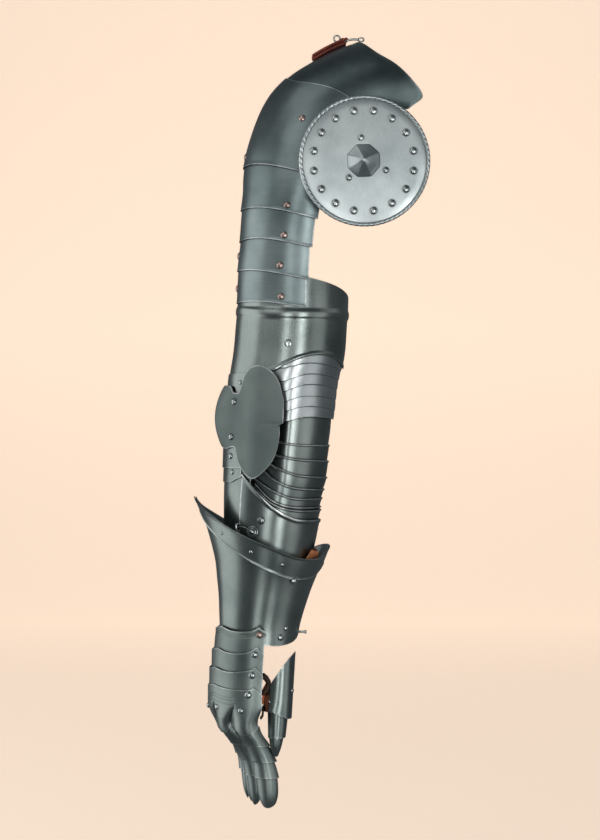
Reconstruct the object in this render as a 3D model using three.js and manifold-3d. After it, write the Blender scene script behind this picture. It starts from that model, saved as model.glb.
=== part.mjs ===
// Articulated armour for a right arm, hung by the strap at the shoulder, seen from the wearer's front.
// Millimetres, +Z up, the viewer at -Y. The origin is the hanging point at the top of the shoulder cap.
// Plates are shells around one arm form. Angle 0 is the outer side (-X), 90 the front (-Y), 180 the crook side.
import * as THREE from 'three';
import Module from 'manifold-3d';

const wasm = await Module();
wasm.setup();

// Named sizes
const SHEET = 1.0;
const GAP = 0.3;
const LAYER = SHEET + GAP;
const ARM_LENGTH = 500;
const ARM_WIDTH = 125;
const BEND_RADIUS = 106.4;
const BEND_X = 53.8;
const BEND_Z = -163.5;
const HAND_LENGTH = 200;
const HAND_WIDTH = 100;
const HAND_TOP_Z = -650;
const HAND_TURN = 28;
const CUFF_LENGTH = 168;
const CUFF_WIDTH = 140;
const CUFF_TOP_Z = -505;
const RONDEL_RADIUS = 71;
const RONDEL_X = 11.5;
const RONDEL_Y = -88;
const RONDEL_Z = -141.4;
const LEATHER = 2.0;
const LAME_UNDERLAP = 9;
const HAND_UNDERLAP = 4.5;

const RAD = Math.PI / 180;
const BEND_END = BEND_RADIUS * Math.PI / 2;

// Arm form: down the spine as a share of ARM_LENGTH; middle, half width and half depth as shares of ARM_WIDTH
const ARM_FORM = [
  { down: 0.067, middle: -0.421, wide: 0.475, deep: 0.540 },
  { down: 0.126, middle: -0.421, wide: 0.491, deep: 0.550 },
  { down: 0.171, middle: -0.421, wide: 0.526, deep: 0.560 },
  { down: 0.204, middle: -0.421, wide: 0.537, deep: 0.562 },
  { down: 0.260, middle: -0.421, wide: 0.516, deep: 0.560 },
  { down: 0.334, middle: -0.421, wide: 0.514, deep: 0.556 },
  { down: 0.382, middle: -0.464, wide: 0.492, deep: 0.536 },
  { down: 0.452, middle: -0.500, wide: 0.478, deep: 0.506 },
  { down: 0.518, middle: -0.520, wide: 0.488, deep: 0.490 },
  { down: 0.590, middle: -0.528, wide: 0.496, deep: 0.482 },
  { down: 0.642, middle: -0.544, wide: 0.499, deep: 0.480 },
  { down: 0.694, middle: -0.560, wide: 0.501, deep: 0.480 },
  { down: 0.760, middle: -0.598, wide: 0.502, deep: 0.480 },
  { down: 0.850, middle: -0.612, wide: 0.511, deep: 0.480 },
  { down: 0.900, middle: -0.628, wide: 0.504, deep: 0.480 },
  { down: 0.940, middle: -0.643, wide: 0.495, deep: 0.474 },
  { down: 0.980, middle: -0.660, wide: 0.484, deep: 0.464 },
  { down: 1.024, middle: -0.693, wide: 0.455, deep: 0.440 },
  { down: 1.072, middle: -0.722, wide: 0.426, deep: 0.416 },
  { down: 1.120, middle: -0.741, wide: 0.405, deep: 0.392 },
  { down: 1.240, middle: -0.780, wide: 0.336, deep: 0.328 },
  { down: 1.300, middle: -0.790, wide: 0.328, deep: 0.320 },
];

// Smooth value between table rows
function along(rows, key, name, x) {
  const last = rows.length - 1;
  if (x <= rows[0][key]) return rows[0][name];
  if (x >= rows[last][key]) return rows[last][name];
  let i = 0;
  while (x > rows[i + 1][key]) i += 1;
  const slope = (k) => {
    const a = rows[Math.max(k - 1, 0)];
    const b = rows[Math.min(k + 1, last)];
    return (b[name] - a[name]) / (b[key] - a[key]);
  };
  const span = rows[i + 1][key] - rows[i][key];
  const t = (x - rows[i][key]) / span;
  const t2 = t * t;
  const t3 = t2 * t;
  return (2 * t3 - 3 * t2 + 1) * rows[i][name] + (t3 - 2 * t2 + t) * span * slope(i)
    + (-2 * t3 + 3 * t2) * rows[i + 1][name] + (t3 - t2) * span * slope(i + 1);
}

function fold(angle) {
  return Math.abs((((angle + 180) % 360) + 360) % 360 - 180);
}

function smooth(t) {
  const c = Math.min(Math.max(t, 0), 1);
  return c * c * (3 - 2 * c);
}

// Point of the arm form at a distance down the spine, an angle around it and a height off it
function armPoint(down, angle, off) {
  const share = down / ARM_LENGTH;
  const wide = along(ARM_FORM, 'down', 'wide', share) * ARM_WIDTH + off;
  const deep = along(ARM_FORM, 'down', 'deep', share) * ARM_WIDTH + off;
  const out = wide * Math.cos(angle * RAD);
  const y = -deep * Math.sin(angle * RAD);
  if (down < BEND_END) {
    const turn = (BEND_END - down) / BEND_RADIUS;
    const reach = BEND_RADIUS + out;
    return [BEND_X - reach * Math.cos(turn), y, BEND_Z + reach * Math.sin(turn)];
  }
  const middle = along(ARM_FORM, 'down', 'middle', share) * ARM_WIDTH;
  return [middle - out, y, BEND_Z - (down - BEND_END)];
}

// Closed shell from point(across, down, face) over a row of values each way; face 0 is the outer one, 1 the inner
function shell(point, across, rows, wrap) {
  const columns = wrap ? across.length : across.length - 1;
  const cols = across.length;
  const count = rows.length;
  const flat = [];
  for (let k = 0; k < 2; k += 1) {
    for (let j = 0; j < count; j += 1) {
      for (let i = 0; i < cols; i += 1) flat.push(...point(across[i], rows[j], k));
    }
  }
  const at = (k, i, j) => k * cols * count + j * cols + (i % cols);
  const index = [];
  const quad = (a, b, c, d) => index.push(a, b, c, a, c, d);
  for (let i = 0; i < columns; i += 1) {
    for (let j = 0; j < count - 1; j += 1) {
      quad(at(0, i, j), at(0, i, j + 1), at(0, i + 1, j + 1), at(0, i + 1, j));
      quad(at(1, i, j), at(1, i + 1, j), at(1, i + 1, j + 1), at(1, i, j + 1));
    }
    const j = count - 1;
    quad(at(0, i, 0), at(0, i + 1, 0), at(1, i + 1, 0), at(1, i, 0));
    quad(at(0, i + 1, j), at(0, i, j), at(1, i, j), at(1, i + 1, j));
  }
  if (!wrap) {
    for (let j = 0; j < count - 1; j += 1) {
      quad(at(0, 0, j + 1), at(0, 0, j), at(1, 0, j), at(1, 0, j + 1));
      quad(at(0, columns, j), at(0, columns, j + 1), at(1, columns, j + 1), at(1, columns, j));
    }
  }
  const geometry = new THREE.BufferGeometry();
  geometry.setAttribute('position', new THREE.Float32BufferAttribute(flat, 3));
  geometry.setIndex(index);
  return geometry;
}

function steps(n) {
  return Array.from({ length: n + 1 }, (_, i) => i / n);
}

// Angles from one to another that fall on whole steps, with the two ends; layers that share them have parallel facets
function spread(from, to, step = 12) {
  const list = [from];
  for (let a = (Math.floor(from / step) + 1) * step; a < to - 1; a += step) if (a > from + 1) list.push(a);
  list.push(to);
  return list;
}

function around(step = 12) {
  return Array.from({ length: 360 / step }, (_, i) => i * step);
}

// One solid out of several that overlap
function join(pieces) {
  let whole = null;
  for (const piece of pieces) {
    const flat = piece.index ? piece.toNonIndexed() : piece;
    const verts = new Float32Array(flat.attributes.position.array);
    const tris = Uint32Array.from({ length: verts.length / 3 }, (_, i) => i);
    const mesh = new wasm.Mesh({ numProp: 3, vertProperties: verts, triVerts: tris });
    mesh.merge();
    const body = new wasm.Manifold(mesh);
    whole = whole ? whole.add(body) : body;
  }
  const out = whole.getMesh();
  const points = [];
  for (let i = 0; i < out.vertProperties.length; i += out.numProp) {
    points.push(out.vertProperties[i], out.vertProperties[i + 1], out.vertProperties[i + 2]);
  }
  const geometry = new THREE.BufferGeometry();
  geometry.setAttribute('position', new THREE.Float32BufferAttribute(points, 3));
  geometry.setIndex(Array.from(out.triVerts));
  return geometry;
}

const group = new THREE.Group();
group.name = 'arm_armour';

function add(name, geometry, colour, roughness, metalness) {
  geometry.computeVertexNormals();
  const material = new THREE.MeshStandardMaterial({ color: colour, roughness, metalness });
  const mesh = new THREE.Mesh(geometry, material);
  mesh.name = name;
  group.add(mesh);
}

const STEEL = 0x4a5352;
const BRIGHT = 0x9aa09c;
const SILVER = 0xa9afb3;
const HIDE = 0x8a3f26;
const TAN = 0xb4662f;
const addSteel = (name, geometry, colour = STEEL) => add(name, geometry, colour, 0.35, 0.9);
const addHide = (name, geometry, colour = HIDE) => add(name, geometry, colour, 0.8, 0.0);

// Edge of a plate: angle off the outer side in degrees, distance down as a share of ARM_LENGTH
function edge(rows, angle) {
  return along(rows, 'angle', 'down', fold(angle)) * ARM_LENGTH;
}

// Plate over the arm form, drawn through lines that each give the distance down at an angle; its outer face is a
// height off the form
function armPlate(angles, lines, off, wrap = false) {
  return shell((angle, line, k) => {
    const lift = typeof off === 'function' ? off(angle, lines.indexOf(line)) : off;
    return armPoint(line(angle), angle, lift - k * SHEET);
  }, angles, lines, wrap);
}

// Line a share of the way from one line to another
function between(high, low, share) {
  return (a) => high(a) + (low(a) - high(a)) * share;
}

function shifted(line, by) {
  return (a) => line(a) + by;
}

// Shoulder cap and lames
const CAP_TOP = [
  { angle: 0, down: 0.0620 }, { angle: 21, down: 0.0582 }, { angle: 51, down: 0.0405 },
  { angle: 70, down: 0.0089 }, { angle: 84, down: -0.0181 }, { angle: 97, down: -0.0456 },
  { angle: 102, down: -0.0445 }, { angle: 113, down: -0.0146 },
];
const LAME_2_TOP = [
  { angle: 0, down: 0.1712 }, { angle: 40, down: 0.1670 }, { angle: 80, down: 0.1262 },
  { angle: 116, down: 0.0960 },
];
// Lower edge of each lame: at the outer side, half way and at its front corner; and its span to each side
const SHOULDER_LAMES = [
  { name: 'shoulder_lame_2', outer: 0.3060, half: 0.3040, corner: 0.3200, span: 114, layer: 5 },
  { name: 'shoulder_lame_3', outer: 0.3810, half: 0.3850, corner: 0.4110, span: 109, layer: 4 },
  { name: 'shoulder_lame_4', outer: 0.4520, half: 0.4510, corner: 0.4720, span: 107, layer: 3 },
  { name: 'shoulder_lame_5', outer: 0.5170, half: 0.5210, corner: 0.5420, span: 105, layer: 2 },
  { name: 'shoulder_lame_6', outer: 0.5890, half: 0.5890, corner: 0.6020, span: 103, layer: 1 },
];

const capTop = (a) => edge(CAP_TOP, a);
const lame2Top = (a) => edge(LAME_2_TOP, a);
const capBottom = shifted(lame2Top, LAME_UNDERLAP);
addSteel('shoulder_cap', armPlate(spread(-113, 113), [
  capTop, between(capTop, lame2Top, 0.25), between(capTop, lame2Top, 0.6), lame2Top, capBottom,
], 4 * LAYER));

const lowerEdges = SHOULDER_LAMES.map((lame) => {
  const rows = [
    { angle: 0, down: lame.outer }, { angle: lame.span * 0.5, down: lame.half },
    { angle: lame.span, down: lame.corner },
  ];
  return (a) => edge(rows, a);
});
SHOULDER_LAMES.forEach((lame, i) => {
  const low = lowerEdges[i];
  const under = shifted(low, -LAME_UNDERLAP);
  const lines = i === 0
    ? [lame2Top, capBottom, between(capBottom, under, 0.5), under, low]
    : [shifted(lowerEdges[i - 1], -LAME_UNDERLAP), lowerEdges[i - 1], under, low];
  if (i === 4) lines.splice(2, 2, low);
  addSteel(lame.name, armPlate(spread(-lame.span, lame.span), lines, lame.layer * LAYER));
});

// Upper cannon: a full tube with a raised ring near the top and a bead along the lower edge
const CANNON_TOP = [
  { angle: 0, down: 0.520 }, { angle: 80, down: 0.526 }, { angle: 105, down: 0.537 },
  { angle: 140, down: 0.554 }, { angle: 180, down: 0.578 },
];
const CANNON_BOTTOM = [
  { angle: 0, down: 0.762 }, { angle: 40, down: 0.762 }, { angle: 72, down: 0.745 },
  { angle: 100, down: 0.712 }, { angle: 120, down: 0.701 }, { angle: 143, down: 0.706 },
  { angle: 165, down: 0.723 }, { angle: 180, down: 0.732 },
];
const cannonTop = (a) => edge(CANNON_TOP, a);
const cannonBottom = (a) => edge(CANNON_BOTTOM, a);
const RING = { down: 0.606, high: 1.4, half: 4.2, foot: 2.2 };
const ringLine = (a) => (RING.down + 0.011 * smooth(fold(a) / 100)) * ARM_LENGTH;
const BEAD = 1.1;
addSteel('upper_cannon', armPlate(around(), [
  cannonTop, shifted(ringLine, -RING.half - RING.foot), shifted(ringLine, -RING.half),
  shifted(ringLine, RING.half), shifted(ringLine, RING.half + RING.foot),
  shifted(cannonBottom, -5), shifted(cannonBottom, -3), cannonBottom,
], (a, j) => {
  if (j === 2 || j === 3) return RING.high;
  return j > 5 ? BEAD * smooth((fold(a) - 58) / 12) : 0;
}, true));

// Inner elbow lames, nested towards the middle one; lower edges, then upper edges, at the front end,
// beside it and at the crook
const UPPER_LAMES = [
  { from: 72, front: 0.735, side: 0.724, crook: 0.740 },
  { from: 72, front: 0.764, side: 0.748, crook: 0.760 },
  { from: 72, front: 0.787, side: 0.771, crook: 0.781 },
  { from: 72, front: 0.809, side: 0.796, crook: 0.804 },
  { from: 72, front: 0.831, side: 0.819, crook: 0.828 },
  { from: 72, front: 0.854, side: 0.843, crook: 0.848 },
];
const LOWER_LAMES = [
  { from: 72, start: 0.905, front: 0.926, side: 0.936, crook: 0.941 },
  { from: 72, start: 0.925, front: 0.953, side: 0.971, crook: 0.977 },
  { from: 72, start: 0.945, front: 0.982, side: 0.999, crook: 1.0035 },
  { from: 64, start: 0.978, front: 1.005, side: 1.0215, crook: 1.023 },
  { from: 64, start: 0.986, front: 1.025, side: 1.0405, crook: 1.042 },
  { from: 64, start: 0.992, front: 1.031, side: 1.0475, crook: 1.049 },
];
function crookEdge(row) {
  const rows = [
    { angle: 88, down: row.front }, { angle: 116, down: row.side }, { angle: 180, down: row.crook },
  ];
  if (row.start) rows.unshift({ angle: 62, down: row.start });
  return (a) => edge(rows, a);
}
const CROOK_OVERLAP = 8;
const CROOK_LAYER = SHEET + 0.6;
const FRONT_SPREAD = 2.1;
// The layers stand further apart near the front and back, where the lames slide past each other as the elbow bends
const SPREAD_OVER = 36;
const UPPER_SPREAD = 100;
const LOWER_SPREAD = 112;
const crookPlate = (name, from, lines, layer, ends) => addSteel(name, armPlate(
  spread(from, 360 - from), lines,
  (a, j) => -layer * CROOK_LAYER * (1 + FRONT_SPREAD * smooth((ends[j] - fold(a)) / SPREAD_OVER)),
), BRIGHT);

const upperEdges = UPPER_LAMES.map(crookEdge);
const lowerTops = LOWER_LAMES.map(crookEdge);
upperEdges.forEach((low, i) => {
  const above = i === 0 ? cannonBottom : upperEdges[i - 1];
  crookPlate(`crook_upper_lame_${i + 1}`, UPPER_LAMES[i].from, [shifted(above, -CROOK_OVERLAP), low], i + 1,
    [UPPER_SPREAD, UPPER_SPREAD]);
});
crookPlate('crook_middle_lame', 72, [
  shifted(upperEdges[5], -CROOK_OVERLAP), lowerTops[0], shifted(lowerTops[0], CROOK_OVERLAP),
], 7, [UPPER_SPREAD, LOWER_SPREAD, LOWER_SPREAD]);

// The lames below the middle one start close inside the lower cannon
const LOWER_START = 0.4;
const LOWER_LAYER = SHEET + 0.8;
const lowerLayer = (i) => (LOWER_START + LOWER_LAYER * (5 - i)) / CROOK_LAYER;

// Lower cannon top edge on the crook side, from the seam round to the crook
const FORE_TOP = [
  { angle: 50, down: 0.9680 }, { angle: 56, down: 0.9796 }, { angle: 78, down: 1.0217 },
  { angle: 92, down: 1.0430 }, { angle: 107, down: 1.0590 }, { angle: 124, down: 1.0690 },
  { angle: 180, down: 1.0720 },
];
const foreTop = (a) => edge(FORE_TOP, a);
lowerTops.forEach((high, i) => {
  const below = i === 5 ? foreTop : lowerTops[i + 1];
  crookPlate(`crook_lower_lame_${i + 1}`, LOWER_LAMES[i].from, [high, below, shifted(below, CROOK_OVERLAP)], lowerLayer(i),
    [LOWER_SPREAD, LOWER_SPREAD, LOWER_SPREAD]);
});

// Outer elbow: one lame above the couter and two below it, each one tucked inside the piece nearer the elbow
const OUTER_LAMES = [
  { name: 'elbow_upper_lame', top: 0.747, bottom: 0.800, span: 50, layer: 1, round: 0 },
  { name: 'elbow_lower_lame_1', top: 0.898, bottom: 0.945, span: 50, layer: 2, round: 0 },
  { name: 'elbow_lower_lame_2', top: 0.934, bottom: 0.973, span: 48, layer: 1, round: 1 },
];
OUTER_LAMES.forEach((lame) => {
  const high = () => lame.top * ARM_LENGTH;
  const low = (a) => (lame.bottom - 0.012 * lame.round * smooth((fold(a) - 30) / 20)) * ARM_LENGTH;
  addSteel(lame.name, armPlate(spread(-lame.span, lame.span), [high, between(high, low, 0.5), low],
    lame.layer * LAYER));
});

// Couter: a domed cop on the outer side that runs into an oval wing on the front and on the back
const COUTER_TOP = [
  { angle: 0, down: 0.772 }, { angle: 34, down: 0.776 }, { angle: 46, down: 0.780 },
  { angle: 54, down: 0.760 }, { angle: 60, down: 0.7365 }, { angle: 66, down: 0.7305 },
  { angle: 74, down: 0.7365 }, { angle: 81, down: 0.750 }, { angle: 86, down: 0.7705 },
  { angle: 90, down: 0.806 },
];
const COUTER_BOTTOM = [
  { angle: 0, down: 0.905 }, { angle: 24, down: 0.913 }, { angle: 36, down: 0.909 },
  { angle: 42, down: 0.913 }, { angle: 48, down: 0.9405 }, { angle: 59, down: 0.9665 },
  { angle: 68, down: 0.9772 }, { angle: 77, down: 0.962 }, { angle: 85, down: 0.931 },
  { angle: 90, down: 0.878 },
];
const COUTER_SPAN = 90;
const couterTop = (a) => edge(COUTER_TOP, a);
const couterBottom = (a) => edge(COUTER_BOTTOM, a);
const COUTER_ROWS = steps(5);
const couterLines = COUTER_ROWS.map((share) => between(couterTop, couterBottom, share));
addSteel('couter', armPlate(spread(-COUTER_SPAN, COUTER_SPAN, 6), couterLines, (a, j) => {
  const turn = fold(a);
  const cop = 9.0 * Math.sin(Math.PI * COUTER_ROWS[j]) ** 0.8 * (1 - smooth(turn / 48));
  const wing = 9.5 * smooth((turn - 30) / 40);
  return 3 * LAYER + 0.6 + cop + wing;
}));

// Lower cannon: an outer half tucked inside the elbow lames and a crook half that laps over it at the seam
const FORE_END = 1.240;
const FORE_SEAM = 50;
const foreEnd = () => FORE_END * ARM_LENGTH;
const foreHigh = () => 0.962 * ARM_LENGTH;
const foreLines = [1.080, 1.160].map((share) => () => share * ARM_LENGTH);
addSteel('lower_cannon_outer', armPlate(spread(-FORE_SEAM - 10, FORE_SEAM + 10), [
  foreHigh, () => 1.024 * ARM_LENGTH, ...foreLines, foreEnd,
], 0));
addSteel('lower_cannon_inner', armPlate(spread(FORE_SEAM, 360 - FORE_SEAM), [
  foreTop, shifted(foreTop, 2.5), shifted(foreTop, 4), ...foreLines, foreEnd,
], (a, j) => LAYER + (j < 2 ? BEAD : 0)));

// Gauntlet cuff form: down as a share of CUFF_LENGTH; middle, half width, half depth as shares of CUFF_WIDTH
const CUFF_FORM = [
  { down: -0.100, middle: -0.664, wide: 0.612, deep: 0.560 },
  { down: 0.014, middle: -0.659, wide: 0.592, deep: 0.540 },
  { down: 0.134, middle: -0.649, wide: 0.544, deep: 0.505 },
  { down: 0.264, middle: -0.649, wide: 0.495, deep: 0.465 },
  { down: 0.426, middle: -0.660, wide: 0.436, deep: 0.412 },
  { down: 0.548, middle: -0.684, wide: 0.396, deep: 0.372 },
  { down: 0.667, middle: -0.705, wide: 0.362, deep: 0.338 },
  { down: 0.867, middle: -0.737, wide: 0.321, deep: 0.290 },
  { down: 1.014, middle: -0.742, wide: 0.300, deep: 0.266 },
];
const CUFF_RIM = [
  { angle: 0, down: 0.010 }, { angle: 12, down: 0.060 }, { angle: 30, down: 0.122 },
  { angle: 60, down: 0.234 }, { angle: 90, down: 0.330 }, { angle: 120, down: 0.402 },
  { angle: 150, down: 0.415 }, { angle: 180, down: 0.378 },
];
const CUFF_END = [
  { angle: 0, down: 0.890 }, { angle: 60, down: 0.930 }, { angle: 110, down: 0.985 },
  { angle: 150, down: 0.970 }, { angle: 180, down: 0.920 },
];
const BORDER_DEEP = [
  { angle: 0, deep: 0.095 }, { angle: 40, deep: 0.135 }, { angle: 90, deep: 0.150 }, { angle: 180, deep: 0.110 },
];
function cuffPoint(down, angle, off) {
  const wide = along(CUFF_FORM, 'down', 'wide', down) * CUFF_WIDTH + off;
  const deep = along(CUFF_FORM, 'down', 'deep', down) * CUFF_WIDTH + off;
  const middle = along(CUFF_FORM, 'down', 'middle', down) * CUFF_WIDTH;
  return [
    middle - wide * Math.cos(angle * RAD), -deep * Math.sin(angle * RAD),
    CUFF_TOP_Z - down * CUFF_LENGTH,
  ];
}
const rimAt = (a) => along(CUFF_RIM, 'angle', 'down', fold(a));
const endAt = (a) => along(CUFF_END, 'angle', 'down', fold(a));
const borderEnd = (a) => rimAt(a) + along(BORDER_DEEP, 'angle', 'deep', fold(a));
const cuffLines = [rimAt, borderEnd, ...[0.33, 0.67].map((share) => between(borderEnd, endAt, share)), endAt];
addSteel('gauntlet_cuff', shell((a, line, k) => cuffPoint(line(a), a, -k * SHEET), around(), cuffLines, true));
addSteel('cuff_border', shell((a, line, k) => cuffPoint(line(a), a, LAYER - k * SHEET),
  around(), [rimAt, borderEnd], true));

// Glove leather: it hugs the lower cannon under the rim of the cuff and meets the inside of the cuff lower down
const LINING_END = 0.63;
addHide('wrist_leather', shell((a, v, k) => {
  if (v === 1) return cuffPoint(LINING_END, a, -SHEET - 0.4 - LEATHER * k);
  const seam = LAYER * smooth((fold(a) - FORE_SEAM + 9) / 4);
  const lift = seam + 0.5 + LEATHER * (1 - k) + 5 * (1 - v) * (1 - v) * smooth((fold(a) - 60) / 60);
  return armPoint((1.135 + 0.06 * v) * ARM_LENGTH, a, lift);
}, around(), [0, 0.9, 1], true), TAN);

// Hand: its back faces outwards and a little to the front. Middle as a share of HAND_WIDTH
const HAND_FORM = [
  { down: -0.10, middle: -1.085 },
  { down: 0.00, middle: -1.100 },
  { down: 0.14, middle: -1.134 },
  { down: 0.24, middle: -1.148 },
  { down: 0.34, middle: -1.160 },
  { down: 0.60, middle: -1.165 },
  { down: 1.00, middle: -1.165 },
];
const HAND_DEEP = 0.38;
const HAND_WIDE = 0.47;
const BACK = [-Math.cos(HAND_TURN * RAD), -Math.sin(HAND_TURN * RAD)];
const SIDE = [Math.sin(HAND_TURN * RAD), -Math.cos(HAND_TURN * RAD)];
function handSpot(down, back, side) {
  const middle = along(HAND_FORM, 'down', 'middle', down / HAND_LENGTH) * HAND_WIDTH;
  return [
    middle + back * BACK[0] + side * SIDE[0], back * BACK[1] + side * SIDE[1], HAND_TOP_Z - down,
  ];
}
function handPoint(down, angle, off) {
  return handSpot(down, (HAND_DEEP * HAND_WIDTH + off) * Math.cos(angle * RAD),
    (HAND_WIDE * HAND_WIDTH + off) * Math.sin(angle * RAD));
}
// Upper edge of each lame over the back of the hand, with a peak at the side rivet, as shares of HAND_LENGTH
const HAND_LAMES = [
  { name: 'hand_lame_1', ridge: 0.000, quarter: 0.020, beside: 0.020, peak: -0.006, end: 0.020 },
  { name: 'hand_lame_2', ridge: 0.122, quarter: 0.140, beside: 0.138, peak: 0.106, end: 0.145 },
  { name: 'hand_lame_3', ridge: 0.228, quarter: 0.244, beside: 0.238, peak: 0.216, end: 0.260 },
  { name: 'knuckle_plate', ridge: 0.322, quarter: 0.336, beside: 0.340, peak: 0.326, end: 0.366 },
];
const HAND_SPAN = 78;
const handTops = HAND_LAMES.map((lame) => {
  const rows = [
    { angle: 0, down: lame.ridge }, { angle: 25, down: lame.quarter }, { angle: 50, down: lame.beside },
    { angle: 66, down: lame.peak }, { angle: HAND_SPAN, down: lame.end },
  ];
  return (a) => along(rows, 'angle', 'down', fold(a)) * HAND_LENGTH;
});
const HAND_ANGLES = steps(12).map((t) => HAND_SPAN * (2 * t - 1));
const HAND_LAYER = LAYER + 0.1;
HAND_LAMES.slice(0, 3).forEach((lame, i) => {
  const under = shifted(handTops[i + 1], HAND_UNDERLAP);
  const lines = [handTops[i], shifted(handTops[i], HAND_UNDERLAP), handTops[i + 1], under];
  addSteel(lame.name, shell((a, line, k) => {
    const tuck = line === under ? 0.5 : 0;
    return handPoint(line(a), a, (i + 1) * HAND_LAYER - tuck - k * SHEET);
  }, HAND_ANGLES, lines, false));
});

// Fingers: knuckle place and radius as shares of HAND_WIDTH, facing, and how far each curls towards the palm
const FINGERS = [
  { name: 'index_finger', back: 0.15, side: 0.285, radius: 0.160, turn: 44, curl: 1.00 },
  { name: 'middle_finger', back: 0.27, side: 0.075, radius: 0.130, turn: 8, curl: 1.30 },
  { name: 'ring_finger', back: 0.20, side: -0.14, radius: 0.120, turn: -14, curl: 1.28 },
  { name: 'little_finger', back: 0.09, side: -0.34, radius: 0.112, turn: -30, curl: 1.05 },
];
const CURL = [
  { down: 0.50, shift: 0.000 }, { down: 0.58, shift: 0.030 }, { down: 0.65, shift: 0.120 },
  { down: 0.75, shift: 0.215 }, { down: 0.85, shift: 0.258 }, { down: 1.02, shift: 0.280 },
];
function fingerPoint(finger, share, angle, off) {
  const shift = along(CURL, 'down', 'shift', share) * finger.curl;
  const way = (finger.turn + angle) * RAD;
  const radius = finger.radius * HAND_WIDTH + off;
  return handSpot(share * HAND_LENGTH, (finger.back - shift) * HAND_WIDTH + radius * Math.cos(way),
    finger.side * HAND_WIDTH + radius * Math.sin(way));
}
// Knuckle plate: the hand form at its top edge, four finger lobes at its lower edge
const LOBE_SPAN = 60;
const LOBE_END = 0.587;
const LOBE_ROUND = 0.04;
addSteel('knuckle_plate', shell((u, v, k) => {
  const a = -HAND_SPAN + 2 * HAND_SPAN * u;
  const which = Math.min(Math.floor((1 - u) * 4 + 1e-9), 3);
  const within = (1 - u) * 4 - which;
  const finger = FINGERS[which];
  const high = handTops[3](a) / HAND_LENGTH;
  const low = LOBE_END - LOBE_ROUND * ((2 * within - 1) ** 2 + (which === 3 ? 0.4 : 0));
  const share = high + (low - high) * v;
  const plain = handPoint(share * HAND_LENGTH, a, 4 * HAND_LAYER - k * SHEET);
  const lobed = fingerPoint(finger, share, LOBE_SPAN * (1 - 2 * within), 0.7 - k * SHEET);
  const mix = smooth((v - 0.26) / 0.6);
  return plain.map((p, i) => p + (lobed[i] - p) * mix);
}, steps(24), steps(4), false));

// Four lames down each finger, each one tucked inside the flared end of the one above
const FINGER_LAMES = [
  { top: 0.545, bottom: 0.655 }, { top: 0.633, bottom: 0.745 },
  { top: 0.723, bottom: 0.835 }, { top: 0.813, bottom: 1.005 },
];
const FINGER_SPAN = 68;
const FLARE = 1.5;
const TIP_ROUND = 0.03;
const TIP_NARROW = 5;
FINGERS.forEach((finger) => FINGER_LAMES.forEach((lame, n) => {
  const next = FINGER_LAMES[n + 1];
  const rows = [lame.top];
  if (n > 0) rows.push(FINGER_LAMES[n - 1].bottom);
  rows.push(next ? next.top : 0.90);
  rows.push(lame.bottom);
  addSteel(`${finger.name}_lame_${n + 1}`, shell((a, share, k) => {
    const t = (share - lame.top) / (lame.bottom - lame.top);
    const tip = next ? 0 : t * t;
    const down = share - TIP_ROUND * (1 - Math.cos(a * RAD)) * tip;
    return fingerPoint(finger, down, a, -0.2 * n - FLARE * (next ? 1 - t : 1) - TIP_NARROW * tip * tip - k * SHEET);
  }, steps(5).map((u) => FINGER_SPAN * (2 * u - 1)), rows, false));
}));

// Thumb: a base plate with a pointed upper end and two lames, open towards the palm
const THUMB_FACE = 27;
const THUMB_X = -82.5;
const THUMB_Y = -30;
const THUMB_RADIUS = 16.5;
const THUMB_TOP = -674;
function thumbPoint(z, angle, radius, shift) {
  const way = (angle - THUMB_FACE) * RAD;
  return [THUMB_X + shift + radius * Math.sin(way + 2 * THUMB_FACE * RAD),
    THUMB_Y - radius * Math.cos(way + 2 * THUMB_FACE * RAD), z];
}
const THUMB_EDGE = [
  { v: 0.00, from: 50 }, { v: 0.11, from: 4 }, { v: 0.40, from: -40 },
  { v: 0.66, from: -78 }, { v: 0.88, from: -98 }, { v: 1.00, from: -90 },
];
const THUMB_PIECES = [
  { name: 'thumb_base_plate', top: 0, bottom: 72, upper: 16.5, lower: 15.2, shift: [3, 0], tip: 0 },
  { name: 'thumb_lame_1', top: 62, bottom: 98, upper: 12.9, lower: 10.4, shift: [-0.5, -2], tip: 0 },
  { name: 'thumb_lame_2', top: 90, bottom: 119, upper: 9.0, lower: 4.0, shift: [-2, -3.5], tip: 1 },
];
THUMB_PIECES.forEach((piece, n) => addSteel(piece.name, shell((u, v, k) => {
  const start = n === 0 ? along(THUMB_EDGE, 'v', 'from', v) : -86;
  const a = start + (72 - start) * u;
  const radius = piece.upper + (piece.lower - piece.upper) * (piece.tip ? v * v : v) - k * SHEET;
  const round = piece.tip ? 3 * (1 - Math.cos(a * RAD)) * v : 0;
  const shift = piece.shift[0] + (piece.shift[1] - piece.shift[0]) * v;
  return thumbPoint(THUMB_TOP - piece.top - (piece.bottom - piece.top) * v + round, a, radius, shift);
}, steps(8), n === 0 ? [0, 0.12, 0.35, 0.6, 0.85, 1] : [0, 0.5, 1], false)));

// Glove leather that carries the thumb plates beside the hand
const WEB_ANGLES = [null, -114, -94, -70, -48];
addHide('thumb_leather', shell((angle, v, k) => {
  const z = HAND_TOP_Z - 79 - 16 * v;
  if (angle === null) return handPoint(HAND_TOP_Z - z, 70, 4.0 - 4.5 * v * v - LEATHER * k);
  return thumbPoint(z + 17, angle, 13.6 - LEATHER * k, 0);
}, WEB_ANGLES, steps(3), false));

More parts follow.
